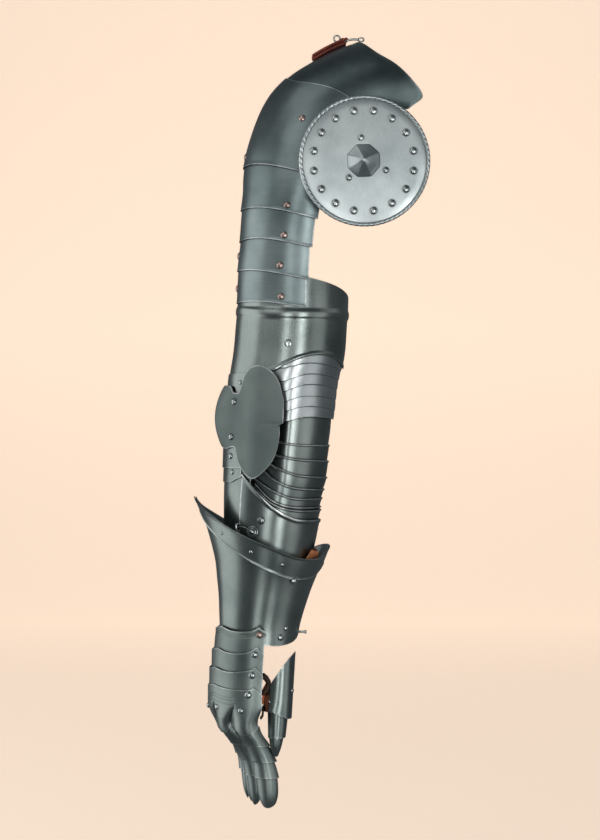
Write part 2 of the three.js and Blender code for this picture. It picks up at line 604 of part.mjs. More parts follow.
// Rondel: a shallow dish with a rolled rim, and a faceted boss at its centre
const RONDEL_PROFILE = [
  [0.00, -1.2], [0.55, -1.0], [0.90, -0.6], [0.94, -2.0], [0.985, -1.6],
  [1.00, 0.6], [0.96, 3.2], [0.90, 0.9], [0.55, 0.2], [0.00, 0.0],
];
const rondel = new THREE.LatheGeometry(
  RONDEL_PROFILE.map(([r, h]) => new THREE.Vector2(r * RONDEL_RADIUS, h)), 28,
);
rondel.translate(RONDEL_X, RONDEL_Y, RONDEL_Z);
addSteel('rondel_disc', rondel, SILVER);

const BOSS_RADIUS = 17;
const BOSS_HEIGHT = 15;
const boss = new THREE.LatheGeometry([
  new THREE.Vector2(0, 0), new THREE.Vector2(BOSS_RADIUS, 0), new THREE.Vector2(BOSS_RADIUS, 1.2),
  new THREE.Vector2(BOSS_RADIUS * 0.3, BOSS_HEIGHT * 0.8), new THREE.Vector2(0, BOSS_HEIGHT),
], 8);
boss.rotateX(Math.PI);
boss.translate(RONDEL_X, RONDEL_Y - 1.2 - GAP, RONDEL_Z);
addSteel('rondel_boss', boss, SILVER);

// Leather that ties the rondel to the shoulder plates
const TIE_WIDE = 16;
const TIE_ROWS = [
  { down: 64 }, { down: 80 }, { x: -14, z: 30 }, { x: -5, z: 14 }, { x: 0, z: -9 },
];
addHide('rondel_strap', shell((u, row, k) => {
  if (row.down) return armPoint(row.down, 96 + 12 * (u - 0.5), 5 * LAYER + 0.4 + LEATHER * (1 - k));
  return [RONDEL_X + row.x + TIE_WIDE * (u - 0.5), RONDEL_Y + 0.5 + LEATHER * k, RONDEL_Z + row.z];
}, steps(2), TIE_ROWS, false));

// Doubled hanging strap on top of the cap, with its buckle
const STRAP_WIDE = 20;
function strapPoint(turn, radius) {
  return new THREE.Vector2(BEND_X - radius * Math.cos(turn * RAD), BEND_Z + radius * Math.sin(turn * RAD));
}
const STRAP_INNER = BEND_RADIUS + 0.491 * ARM_WIDTH + 4 * LAYER + 0.4;
const strapOutline = [
  ...steps(4).map((t) => strapPoint(56.5 + 12.5 * t, STRAP_INNER)),
  ...steps(4).map((t) => strapPoint(69 - 12.5 * t, STRAP_INNER + 5)),
];
const strap = new THREE.ExtrudeGeometry(new THREE.Shape(strapOutline), { depth: STRAP_WIDE, bevelEnabled: false });
strap.rotateX(Math.PI / 2);
strap.translate(0, STRAP_WIDE / 2, 0);
addHide('hanging_strap', strap);

const bar = new THREE.CylinderGeometry(1.4, 1.4, 18.5, 8);
bar.rotateZ(Math.PI / 2);
bar.translate(-1.75, 0, 4.8);
const eye = new THREE.TorusGeometry(2.4, 1.1, 5, 10);
eye.rotateX(Math.PI / 2);
eye.translate(10.2, 0, 5.4);
const ring = new THREE.TorusGeometry(2.6, 1.1, 5, 10);
ring.rotateX(Math.PI / 2);
ring.translate(-13.2, 0, 6.8);
addSteel('hanging_buckle', join([bar, eye, ring]), SILVER);

export default group;
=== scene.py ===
import math

import bpy
import numpy as np
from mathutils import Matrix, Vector


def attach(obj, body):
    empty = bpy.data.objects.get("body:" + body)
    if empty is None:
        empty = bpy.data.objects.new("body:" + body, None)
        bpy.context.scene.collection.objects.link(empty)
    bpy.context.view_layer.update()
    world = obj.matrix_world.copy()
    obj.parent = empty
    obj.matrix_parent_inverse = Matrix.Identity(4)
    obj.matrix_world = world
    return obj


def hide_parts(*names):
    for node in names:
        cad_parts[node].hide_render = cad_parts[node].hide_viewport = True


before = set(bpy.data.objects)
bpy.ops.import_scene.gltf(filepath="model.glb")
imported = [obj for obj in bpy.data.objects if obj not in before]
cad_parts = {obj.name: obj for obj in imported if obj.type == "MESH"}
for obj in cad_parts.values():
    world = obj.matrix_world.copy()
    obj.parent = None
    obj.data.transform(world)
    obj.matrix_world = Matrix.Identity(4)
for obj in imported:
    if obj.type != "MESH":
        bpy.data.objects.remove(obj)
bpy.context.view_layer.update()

# Studio: the arm hangs a little above a pale floor, in front of a pale wall that runs into it.
# The camera stands in front of the wearer and looks straight back at the arm, as in the photograph.
CAMERA_PLACE = (-0.0582, -2.4, -0.4211)
CAMERA_LENS = 91.8
FILM_WIDE = 36.0
camera = bpy.data.objects.new("camera", bpy.data.cameras.new("camera"))
camera.data.sensor_width = FILM_WIDE
camera.data.lens = CAMERA_LENS
camera.location = CAMERA_PLACE
camera.rotation_euler = (math.pi / 2, 0.0, 0.0)
bpy.context.scene.collection.objects.link(camera)
bpy.context.scene.camera = camera
bpy.context.scene.view_settings.view_transform = "Standard"

PAPER_GLOW = 0.625


def backdrop_material(colour):
    material = bpy.data.materials.new("backdrop_paper")
    material.use_nodes = True
    paper = material.node_tree.nodes["Principled BSDF"]
    paper.inputs["Base Color"].default_value = (*colour, 1.0)
    paper.inputs["Roughness"].default_value = 0.9
    paper.inputs["Specular IOR Level"].default_value = 0.1
    paper.inputs["Emission Color"].default_value = (*colour, 1.0)
    paper.inputs["Emission Strength"].default_value = PAPER_GLOW
    return material


FLOOR_Z = -1.02
FLOOR_FRONT_Y = -4.0
PAPER_HALF_WIDE = 2.0
WALL_Y = 4.8
WALL_TOP_Z = 2.4
PAPER_CURVE = 0.9
CURVE_STEPS = 12
PAPER = (0.98, 0.80, 0.65)
paper_line = [(FLOOR_FRONT_Y, FLOOR_Z)]
for step in range(CURVE_STEPS + 1):
    turn = step / CURVE_STEPS * math.pi / 2
    curve_y = WALL_Y - PAPER_CURVE * (1 - math.sin(turn))
    curve_z = FLOOR_Z + PAPER_CURVE * (1 - math.cos(turn))
    paper_line.append((curve_y, curve_z))
paper_line.append((WALL_Y, WALL_TOP_Z))
paper_points = [(x, y, z) for x in (-PAPER_HALF_WIDE, PAPER_HALF_WIDE) for y, z in paper_line]
paper_count = len(paper_line)
paper_faces = [(i, paper_count + i, paper_count + i + 1, i + 1) for i in range(paper_count - 1)]
paper_mesh = bpy.data.meshes.new("backdrop")
paper_mesh.from_pydata(paper_points, [], paper_faces)
paper_mesh.shade_smooth()
paper_mesh.materials.append(backdrop_material(PAPER))
backdrop = bpy.data.objects.new("backdrop", paper_mesh)
bpy.context.scene.collection.objects.link(backdrop)
backdrop.visible_glossy = False

world = bpy.data.worlds.new("studio")
world.use_nodes = True
world.node_tree.nodes["Background"].inputs["Color"].default_value = (0.86, 0.93, 1.0, 1.0)
world.node_tree.nodes["Background"].inputs["Strength"].default_value = 0.11
bpy.context.scene.world = world

# Soft lamps: name, turn to the right of the camera in degrees, distance, lower and upper end, width,
# brightness
LAMPS = [
    ("left_of_camera_strip", -9, 2.7, -2.0, -0.12, 0.40, 5.2),
    ("right_of_camera_strip", 21, 2.7, -2.0, -0.12, 0.44, 7.0),
    ("left_sheet", -96, 2.4, -2.2, 0.7, 2.6, 1.15),
    ("right_sheet", 56, 2.6, -2.2, 0.0, 1.4, 0.75),
    ("upper_left_sheet", -40, 2.8, 0.00, 1.5, 2.0, 0.9),
    ("upper_right_sheet", 84, 2.4, 0.05, 1.5, 2.0, 0.3),
    ("behind_camera_sheet", 4, 3.4, -0.2, 0.9, 0.9, 0.9),
]
ARM_MIDDLE = Vector((-0.06, 0.0, -0.42))


def soft_lamp(name, place, aim, across, up, brightness):
    lamp = bpy.data.lights.new(name, "AREA")
    lamp.shape = "RECTANGLE"
    lamp.size = across
    lamp.size_y = up
    lamp.energy = brightness * math.pi * across * up
    holder = bpy.data.objects.new(name, lamp)
    holder.location = place
    holder.rotation_euler = (aim - Vector(place)).to_track_quat("-Z", "Y").to_euler()
    bpy.context.scene.collection.objects.link(holder)


for lamp_name, turn, distance, lamp_low, lamp_high, across, brightness in LAMPS:
    way = math.radians(turn)
    lamp_z = (lamp_low + lamp_high) / 2
    place = (ARM_MIDDLE.x + distance * math.sin(way), -distance * math.cos(way), lamp_z)
    soft_lamp(lamp_name, place, Vector((ARM_MIDDLE.x, 0.0, lamp_z)), across, lamp_high - lamp_low, brightness)
soft_lamp("overhead_sheet", (-1.3, -0.9, 1.9), ARM_MIDDLE, 2.0, 1.4, 0.6)
soft_lamp("wall_wash", (0.0, 2.9, 2.6), Vector((0.0, WALL_Y, -0.3)), 2.4, 0.6, 0.5)

# Shoulder cap: one plate that starts at the neck and bends over the top of the shoulder.
# Its shape, like that of every plate below, is a shell around the form of the arm, in millimetres.
SHEET = 1.0
LAYER = 1.3
ARM_LENGTH = 500.0
ARM_WIDTH = 125.0
BEND_RADIUS = 106.4
BEND_X = 53.8
BEND_Z = -163.5
BEND_END = BEND_RADIUS * math.pi / 2

# Arm form: down as a share of ARM_LENGTH; middle, half width and half depth as shares of ARM_WIDTH
ARM_FORM = [
    (0.067, -0.421, 0.475, 0.540), (0.126, -0.421, 0.491, 0.550), (0.171, -0.421, 0.526, 0.560),
    (0.204, -0.421, 0.537, 0.562), (0.260, -0.421, 0.516, 0.560), (0.334, -0.421, 0.514, 0.556),
    (0.382, -0.464, 0.492, 0.536), (0.452, -0.500, 0.478, 0.506), (0.518, -0.520, 0.488, 0.490),
    (0.590, -0.528, 0.496, 0.482), (0.642, -0.544, 0.499, 0.480), (0.694, -0.560, 0.501, 0.480),
    (0.760, -0.598, 0.502, 0.480), (0.850, -0.612, 0.511, 0.480), (0.900, -0.628, 0.504, 0.480),
    (0.940, -0.643, 0.495, 0.474), (0.980, -0.660, 0.484, 0.464), (1.024, -0.693, 0.455, 0.440),
    (1.072, -0.722, 0.426, 0.416), (1.120, -0.741, 0.405, 0.392), (1.240, -0.780, 0.336, 0.328),
    (1.300, -0.790, 0.328, 0.320),
]


def along(rows, column, x):
    """Smooth value of one column of a table whose first column rises."""
    table = np.array(rows, float)
    key, value = table[:, 0], table[:, column]
    low = np.maximum(np.arange(len(key)) - 1, 0)
    high = np.minimum(np.arange(len(key)) + 1, len(key) - 1)
    slope = (value[high] - value[low]) / (key[high] - key[low])
    x = np.clip(np.asarray(x, float), key[0], key[-1])
    i = np.clip(np.searchsorted(key, x, "right") - 1, 0, len(key) - 2)
    span = key[i + 1] - key[i]
    t = (x - key[i]) / span
    return ((2 * t**3 - 3 * t**2 + 1) * value[i] + (t**3 - 2 * t**2 + t) * span * slope[i]
            + (-2 * t**3 + 3 * t**2) * value[i + 1] + (t**3 - t**2) * span * slope[i + 1])


def fold(angle):
    return np.abs((np.asarray(angle, float) + 180) % 360 - 180)


def smooth(t):
    c = np.clip(t, 0, 1)
    return c * c * (3 - 2 * c)


def arm_point(down, angle, off):
    """A point on the arm in mm: distance down it, angle from the outer side to the front, height off it."""
    down, angle, off = np.broadcast_arrays(*(np.asarray(v, float) for v in (down, angle, off)))
    share = down / ARM_LENGTH
    wide = along(ARM_FORM, 2, share) * ARM_WIDTH + off
    deep = along(ARM_FORM, 3, share) * ARM_WIDTH + off
    out = wide * np.cos(np.radians(angle))
    y = -deep * np.sin(np.radians(angle))
    turn = np.maximum(BEND_END - down, 0) / BEND_RADIUS
    reach = BEND_RADIUS + out
    straight = down >= BEND_END
    x = np.where(straight, along(ARM_FORM, 1, share) * ARM_WIDTH - out, BEND_X - reach * np.cos(turn))
    z = np.where(straight, BEND_Z - (down - BEND_END), BEND_Z + reach * np.sin(turn))
    return np.stack([x, y, z], -1)


FAR_MM = 9.0


def mark_plain(mesh):
    """Marks for a mesh that has no worn edge with a painted highlight and no painted shadow line from a plate
    over it.
    """
    for mark in ("edge_mm", "cover_mm"):
        mesh.attributes.new(mark, "FLOAT", "POINT").data.foreach_set("value", [FAR_MM] * len(mesh.vertices))


def piece(name, points, faces, material, body, marks=None, sharp=50, cover=None):
    """A finished mesh piece from points in mm; marks are the distances in mm from the plate's edge."""
    mesh = bpy.data.meshes.new(name)
    mesh.from_pydata((np.asarray(points) / 1000).tolist(), [], faces)
    far = np.full(len(points), FAR_MM)
    for mark, values in (("edge_mm", marks), ("cover_mm", cover)):
        values = far if values is None else values
        values = np.asarray(values, np.float32)
        mesh.attributes.new(mark, "FLOAT", "POINT").data.foreach_set("value", values)
    mesh.shade_smooth()
    mesh.set_sharp_from_angle(angle=math.radians(sharp))
    mesh.materials.append(material)
    made = bpy.data.objects.new(name, mesh)
    bpy.context.scene.collection.objects.link(made)
    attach(made, body)
    return made


def span_length(grid, axis):
    """Distance walked along a grid of points from its first line."""
    walk = np.linalg.norm(np.diff(grid, axis=axis), axis=-1)
    start = np.zeros_like(np.take(walk, [0], axis=axis))
    return np.cumsum(np.concatenate([start, walk], axis=axis), axis=axis)


def shell(name, outer, inner, material, body, node=None, wrap=False, lip=0.35, sharp=50, cover=None):
    """A closed sheet between two grids of points, rows down and columns across, with rounded edges.

    cover is the distance in mm of each point from the edge of the plate that laps over this one; the steel
    paints a shadow line along that edge."""
    rows, cols = outer.shape[:2]
    thick = np.linalg.norm(outer - inner, axis=-1, keepdims=True)

    def beyond(edge, next_in, wall):
        way = edge - next_in
        return way / np.maximum(np.linalg.norm(way, axis=-1, keepdims=True), 1e-9) * wall * lip

    middle = (outer + inner) / 2
    top = middle[0] + beyond(middle[0], middle[1], thick[0])
    low = middle[-1] + beyond(middle[-1], middle[-2], thick[-1])
    loop = np.concatenate([outer, low[None], inner[::-1], top[None]])
    down_walk = span_length(outer, 0)
    marks = np.minimum(down_walk, down_walk[-1] - down_walk)
    if not wrap:
        across_walk = span_length(outer, 1)
        marks = np.minimum(marks, np.minimum(across_walk, across_walk[:, -1:] - across_walk))
    flat_marks = np.concatenate([marks, marks[-1:] * 0, marks[::-1], marks[:1] * 0]).ravel()
    points = loop.reshape(-1, 3)
    length = len(loop)
    faces = []
    last = cols if wrap else cols - 1
    for k in range(length):
        n = (k + 1) % length
        for i in range(last):
            j = (i + 1) % cols
            faces.append((k * cols + i, n * cols + i, n * cols + j, k * cols + j))
    if not wrap:
        for side, into in ((0, 1), (cols - 1, cols - 2)):
            rim = middle[:, side] + beyond(middle[:, side], middle[:, into], thick[:, side])
            start = len(points)
            points = np.concatenate([points, rim])
            flat_marks = np.concatenate([flat_marks, np.zeros(rows)])
            outer_at = [r * cols + side for r in range(rows)]
            inner_at = [(rows + 1 + rows - 1 - r) * cols + side for r in range(rows)]
            rim_at = [start + r for r in range(rows)]
            ends = []
            for r in range(rows - 1):
                ends.append((outer_at[r], outer_at[r + 1], rim_at[r + 1], rim_at[r]))
                ends.append((rim_at[r], rim_at[r + 1], inner_at[r + 1], inner_at[r]))
            top_at, low_at = (length - 1) * cols + side, rows * cols + side
            ends += [(outer_at[0], rim_at[0], top_at), (inner_at[0], top_at, rim_at[0])]
            ends += [(outer_at[-1], low_at, rim_at[-1]), (inner_at[-1], rim_at[-1], low_at)]
            faces += ends if side else [face[::-1] for face in ends]
    row, col = rows // 2, cols // 2
    here, above, beside = outer[row, col], outer[row - 1, col], outer[row, col - 1]
    facing = np.dot(np.cross(here - above, beside - here), (outer - inner)[row, col])
    if facing > 0:
        faces = [face[::-1] for face in faces]
    covered = None
    if cover is not None:
        covered = np.full(len(points), FAR_MM)
        covered[:rows * cols] = np.abs(cover).ravel()
    made = piece(name, points, faces, material, body, flat_marks, sharp, covered)
    if node:
        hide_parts(node)
    return made


def steel(name, dark, light, rough, wear_and_glint, wear_and_glint_mm=0.8, grain=(1.0, 1.0, 0.04), metallic=1.0):
    """Plate steel: clouded tone, brushed grain, painted shade in the corners, a painted shadow line under
    lapping plates, and edges worn bright with a painted highlight.
    """
    material = bpy.data.materials.new(name)
    material.use_nodes = True
    nodes, links = material.node_tree.nodes, material.node_tree.links
    metal = nodes["Principled BSDF"]
    metal.inputs["Metallic"].default_value = metallic
    place = nodes.new("ShaderNodeTexCoord")

    def noise(scale, detail, lie=None):
        made = nodes.new("ShaderNodeTexNoise")
        made.inputs["Scale"].default_value = scale
        made.inputs["Detail"].default_value = detail
        if lie:
            turned = nodes.new("ShaderNodeMapping")
            turned.inputs["Scale"].default_value = lie
            links.new(place.outputs["Object"], turned.inputs["Vector"])
            links.new(turned.outputs["Vector"], made.inputs["Vector"])
        else:
            links.new(place.outputs["Object"], made.inputs["Vector"])
        return made.outputs["Fac"]

    def spread(value, low, high, to_low, to_high):
        made = nodes.new("ShaderNodeMapRange")
        for label, number in zip(("From Min", "From Max", "To Min", "To Max"), (low, high, to_low, to_high)):
            made.inputs[label].default_value = number
        links.new(value, made.inputs["Value"])
        return made.outputs["Result"]

    def times(one, other):
        made = nodes.new("ShaderNodeMath")
        made.operation = "MULTIPLY"
        made.use_clamp = True
        links.new(one, made.inputs[0])
        links.new(other, made.inputs[1])
        return made.outputs["Value"]

    cloud = noise(14.0, 5.0)
    brush = noise(900.0, 3.0, grain)
    tone = nodes.new("ShaderNodeValToRGB")
    tone.color_ramp.elements[0].position = 0.36
    tone.color_ramp.elements[0].color = (*dark, 1.0)
    tone.color_ramp.elements[1].position = 0.64
    tone.color_ramp.elements[1].color = (*light, 1.0)
    links.new(cloud, tone.inputs["Fac"])

    # Edges worn bright, with a painted highlight along them as well.
    edge = nodes.new("ShaderNodeAttribute")
    edge.attribute_name = "edge_mm"
    near_edge = spread(edge.outputs["Fac"], 0.0, wear_and_glint_mm, 1.0, 0.0)
    worn_and_glint = times(near_edge, spread(noise(120.0, 2.0), 0.35, 0.6, 0.5, 1.0))
    coat = nodes.new("ShaderNodeMix")
    coat.data_type = "RGBA"
    coat.inputs["B"].default_value = (*wear_and_glint, 1.0)
    links.new(worn_and_glint, coat.inputs["Factor"])
    links.new(tone.outputs["Color"], coat.inputs["A"])

    # Painted shadow line: the colour goes dark just below the edge of a plate that laps over this one.
    lapped = nodes.new("ShaderNodeAttribute")
    lapped.attribute_name = "cover_mm"
    line = spread(lapped.outputs["Fac"], 0.3, 1.3, 0.12, 1.0)
    # Painted shade: ambient occlusion darkens the colour in corners and between parts.
    corner = nodes.new("ShaderNodeAmbientOcclusion")
    corner.samples = 6
    corner.inputs["Distance"].default_value = 0.005
    open_air = spread(corner.outputs["AO"], 0.30, 0.90, 0.22, 1.0)
    kept_after_shade_and_grain = times(times(open_air, line), spread(brush, 0.3, 0.7, 0.90, 1.0))
    # Mix towards near-black, driven by the painted shade, the painted shadow line and the darker streaks of
    # the brushed grain.
    shade_and_grain_mix = nodes.new("ShaderNodeMix")
    shade_and_grain_mix.data_type = "RGBA"
    shade_and_grain_mix.inputs["A"].default_value = (0.008, 0.009, 0.009, 1.0)
    links.new(kept_after_shade_and_grain, shade_and_grain_mix.inputs["Factor"])
    links.new(coat.outputs["Result"], shade_and_grain_mix.inputs["B"])
    links.new(shade_and_grain_mix.outputs["Result"], metal.inputs["Base Color"])

    haze = spread(noise(45.0, 6.0), 0.3, 0.7, rough - 0.02, rough + 0.04)
    satin = nodes.new("ShaderNodeMath")
    satin.operation = "ADD"
    links.new(haze, satin.inputs[0])
    links.new(spread(brush, 0.3, 0.7, -0.02, 0.02), satin.inputs[1])
    links.new(satin.outputs["Value"], metal.inputs["Roughness"])

    lines = nodes.new("ShaderNodeBump")
    lines.inputs["Strength"].default_value = 0.02
    lines.inputs["Distance"].default_value = 0.0002
    links.new(brush, lines.inputs["Height"])
    dents = nodes.new("ShaderNodeBump")
    dents.inputs["Strength"].default_value = 0.05
    dents.inputs["Distance"].default_value = 0.001
    links.new(cloud, dents.inputs["Height"])
    links.new(lines.outputs["Normal"], dents.inputs["Normal"])
    links.new(dents.outputs["Normal"], metal.inputs["Normal"])
    return material


# The last colour of each steel is its worn edge colour, which also paints a highlight along the plate edges.
ACROSS = (0.05, 0.05, 1.0)
SHOULDER_STEEL = steel("shoulder_steel", (0.17, 0.215, 0.215), (0.28, 0.335, 0.335), 0.35, (0.88, 0.93, 0.92),
                       wear_and_glint_mm=1.2, grain=ACROSS)
CAP_STEEL = steel("cap_steel", (0.10, 0.13, 0.13), (0.20, 0.25, 0.25), 0.36, (0.60, 0.66, 0.65), grain=ACROSS)
DARK_STEEL = steel("dark_steel", (0.23, 0.27, 0.255), (0.34, 0.385, 0.365), 0.28, (0.66, 0.72, 0.70))


def plate(name, angles, top, low, off, body, material=SHOULDER_STEEL, rows=14, swell=0.3,
          wrap=False, cover=None):
    """A plate on the arm form between two lines down the arm; its lower edge is turned out a little."""
    across, share = np.meshgrid(angles, np.linspace(0, 1, rows))
    high, bottom = top(across), low(across)
    down = high + (bottom - high) * share
    lift = off(across, share, down) if callable(off) else off
    turned = swell * smooth(1 - (bottom - down) / 3.0)
    outer = arm_point(down, across, lift + turned)
    inner = arm_point(down, across, lift + turned - SHEET)
    # Distance below the edge of the lapping plate, from which the steel paints a shadow line.
    hidden = None if cover is None else down - cover(across)
    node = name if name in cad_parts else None
    return shell(name, outer, inner, material, body, node=node, wrap=wrap, cover=hidden)


def edge_line(rows):
    return lambda angle: along(rows, 1, fold(angle)) * ARM_LENGTH


def shifted(line, by):
    return lambda angle: line(angle) + by


# Neck edge of the cap and top edge of the second lame: angle, distance down as a share of ARM_LENGTH
CAP_TOP = [(0, 0.0620), (21, 0.0582), (51, 0.0405), (70, 0.0089), (84, -0.0181), (97, -0.0456),
           (102, -0.0445), (113, -0.0146)]
LAME_2_TOP = [(0, 0.1712), (40, 0.1670), (80, 0.1262), (116, 0.0960)]
UNDERLAP = 9.0
CAP_BACK_SHORTER = 18.0
cap_line = edge_line(CAP_TOP)
cap_top = lambda angle: cap_line(angle) + CAP_BACK_SHORTER * smooth((-angle - 45) / 40)
lame_2_top = edge_line(LAME_2_TOP)
cap_lift = lambda a, v, d: 4 * LAYER + 0.5 * smooth(1 - (d - cap_top(a)) / 3.0)
plate("shoulder_cap", np.linspace(-100, 113, 114), cap_top, shifted(lame_2_top, UNDERLAP), cap_lift,
      "upper_arm", CAP_STEEL, rows=40, swell=0)

# Shoulder lames: five plates that lap upwards over each other, riveted to leathers inside.
# Name, lower edge at the outer side, half way and at the front corner, span to each side, layer
SHOULDER_LAMES = [
    ("shoulder_lame_2", 0.3060, 0.3040, 0.3200, 114, 5),
    ("shoulder_lame_3", 0.3810, 0.3850, 0.4110, 109, 4),
    ("shoulder_lame_4", 0.4520, 0.4510, 0.4720, 107, 3),
    ("shoulder_lame_5", 0.5170, 0.5210, 0.5420, 105, 2),
    ("shoulder_lame_6", 0.5890, 0.5890, 0.6020, 103, 1),
]
lame_top = lame_2_top
for lame_name, at_side, half_way, corner, lame_span, layer in SHOULDER_LAMES:
    lame_low = edge_line([(0, at_side), (lame_span * 0.5, half_way), (lame_span, corner)])
    # The lame above laps over this one; the steel paints a shadow line under its edge.
    lame_cover = shifted(lame_top, UNDERLAP if layer < 5 else -50.0)
    plate(lame_name, np.linspace(14 - lame_span, lame_span, 104), lame_top, lame_low, layer * LAYER,
          "upper_arm", rows=60 if layer == 5 else 44, cover=lame_cover)
    lame_top = shifted(lame_low, -UNDERLAP)

# Upper cannon: a closed tube for the upper arm with a raised ring near its top.
# Its lower edge is rolled where the crook of the elbow cuts up into it.
CANNON_TOP = [(0, 0.520), (80, 0.526), (105, 0.537), (140, 0.554), (180, 0.578)]
CANNON_BOTTOM = [(0, 0.762), (40, 0.762), (72, 0.745), (100, 0.716), (120, 0.706), (143, 0.711),
                 (165, 0.727), (180, 0.735)]
RING_DOWN = 0.606
RING_FALL = 0.011
RING_HIGH = 1.4
RING_HALF_WIDE = 4.6
BEAD = 1.1
BEAD_IN = 1.4
BEAD_HALF_WIDE = 2.0
cannon_low = edge_line(CANNON_BOTTOM)


def rolled(from_edge):
    """Height of a rolled edge at a distance in mm from that edge."""
    return BEAD * np.exp(-((from_edge - BEAD_IN) / BEAD_HALF_WIDE) ** 4)


def cannon_lift(angle, share, down):
    ring_at = (RING_DOWN + RING_FALL * smooth(fold(angle) / 100)) * ARM_LENGTH
    ring = RING_HIGH * np.exp(-((down - ring_at) / RING_HALF_WIDE) ** 4)
    return ring + smooth((fold(angle) - 58) / 12) * rolled(cannon_low(angle) - down)


FULL_TURN = np.arange(0, 360, 3.0)
plate("upper_cannon", FULL_TURN, edge_line(CANNON_TOP), cannon_low, cannon_lift, "upper_arm", DARK_STEEL,
      rows=90, swell=0, wrap=True)

# Inner elbow lames: narrow bright plates across the crook, nested towards the wide middle one.
# They turn with the elbow, each a little more than the one before; the lower ones have a raised upper edge.
BRIGHT_STEEL = steel("bright_steel", (0.48, 0.53, 0.53), (0.64, 0.68, 0.68), 0.32, (0.85, 0.89, 0.88))
# Upper ones by their lower edge and lower ones by their upper edge: first angle of the plate, then how far
# down its edge lies at each of CROOK_ANGLES, as shares of ARM_LENGTH
CROOK_ANGLES = (62, 88, 116, 180)
UPPER_LAMES = [
    (62, None, 0.735, 0.724, 0.740), (62, None, 0.764, 0.748, 0.760), (62, None, 0.787, 0.771, 0.781),
    (62, None, 0.809, 0.796, 0.804), (62, None, 0.831, 0.819, 0.828), (62, None, 0.854, 0.843, 0.848),
]
LOWER_LAMES = [
    (54, 0.905, 0.926, 0.936, 0.941), (54, 0.925, 0.953, 0.971, 0.977), (54, 0.945, 0.982, 0.999, 1.0035),
    (56, 0.978, 1.005, 1.0215, 1.023), (64, 0.986, 1.025, 1.0405, 1.042), (64, 0.992, 1.031, 1.0475, 1.049),
]
CROOK_LAYER = 1.35
CROOK_OVERLAP = 8.0
FRONT_SPREAD = 1.0
FRONT_END = 100
SPREAD_OVER = 30
LOWER_START = 0.9
MIDDLE_LAYER = 8.0
STEP_LAYER = 7.1


def crook_edge(row):
    points = list(zip(CROOK_ANGLES, row[1:]))
    return edge_line(points if row[1] else points[1:])


def crook_plate(name, first, top, low, layer, body, material, cover, rows=28, round_up=0.8, bead=0.0):
    def lift(angle, share, down):
        depth = layer * CROOK_LAYER * (1 + FRONT_SPREAD * smooth((FRONT_END - fold(angle)) / SPREAD_OVER))
        rim = bead * np.exp(-((down - top(angle) - 0.9) / 1.0) ** 4)
        return round_up * np.sin(np.pi * share) + rim - depth
    plate(name, np.linspace(first, 360 - first, 181 - first), top, low, lift, body, material=material,
          rows=rows, swell=0, cover=cover)


# Each crook lame gets as cover the edge of the plate that laps over it, for a painted shadow line under that
# edge.
upper_edges = [crook_edge(row) for row in UPPER_LAMES]
lower_edges = [crook_edge(row) for row in LOWER_LAMES]
crook_above = cannon_low
for k, line in enumerate(upper_edges):
    crook_plate(f"crook_upper_lame_{k + 1}", UPPER_LAMES[k][0], shifted(crook_above, -CROOK_OVERLAP), line,
                k + 1, f"crook_upper_{k + 1}", BRIGHT_STEEL, crook_above)
    crook_above = line
middle_low = shifted(lower_edges[0], CROOK_OVERLAP)
crook_plate("crook_middle_lame", 62, shifted(crook_above, -CROOK_OVERLAP), middle_low, MIDDLE_LAYER, "couter",
            DARK_STEEL, crook_above, rows=60, round_up=0.2)
# Its wide pale edge colour is wear and also a painted highlight along the raised upper edges of the lower
# crook lames.
LINED_STEEL = steel("lined_steel", (0.20, 0.235, 0.225), (0.30, 0.34, 0.325), 0.32, (0.95, 0.98, 0.97),
                    wear_and_glint_mm=2.2)
FORE_TOP = [(50, 0.9680), (56, 0.9796), (78, 1.0217), (92, 1.0430), (107, 1.0590), (124, 1.0690),
            (180, 1.0720)]
fore_top = edge_line(FORE_TOP)
for k, line in enumerate(lower_edges):
    crook_below = fore_top if k == 5 else lower_edges[k + 1]
    crook_plate(f"crook_lower_lame_{k + 1}", LOWER_LAMES[k][0], line, shifted(crook_below, CROOK_OVERLAP),
                LOWER_START + 5 - k, f"crook_lower_{k + 1}", LINED_STEEL, crook_below, rows=48,
                round_up=0.25, bead=1.0)
middle_step = crook_edge((62, 0.876, 0.896, 0.9035, 0.905))
crook_plate("crook_middle_step", 62, middle_step, middle_low, STEP_LAYER, "couter", LINED_STEEL,
            lower_edges[0], rows=48, round_up=0.2, bead=0.8)

# Outer elbow lames: one above the couter and two below it, of the same steel as the upper cannon.
# Each one is tucked inside the piece nearer the elbow and turns on a rivet at its front and back.
# Name, top and bottom as shares of ARM_LENGTH, span to each side, layer, rounding of the lower corner, body
OUTER_LAMES = [
    ("elbow_upper_lame", 0.747, 0.800, 50, 1, 0, "upper_lame"),
    ("elbow_lower_lame_1", 0.898, 0.955, 50, 2, 0, "lower_lame_1"),
    ("elbow_lower_lame_2", 0.944, 0.987, 48, 1, 1, "lower_lame_2"),
]
for lame_name, high, low, lame_span, layer, rounded, body in OUTER_LAMES:
    outer_top = lambda a, h=high: h * ARM_LENGTH + 0 * a
    outer_low = lambda a, b=low, r=rounded: (b - 0.012 * r * smooth((fold(a) - 30) / 20)) * ARM_LENGTH
    plate(lame_name, np.linspace(-lame_span, lame_span, 60), outer_top, outer_low, layer * LAYER, body,
          DARK_STEEL, rows=12, swell=0)

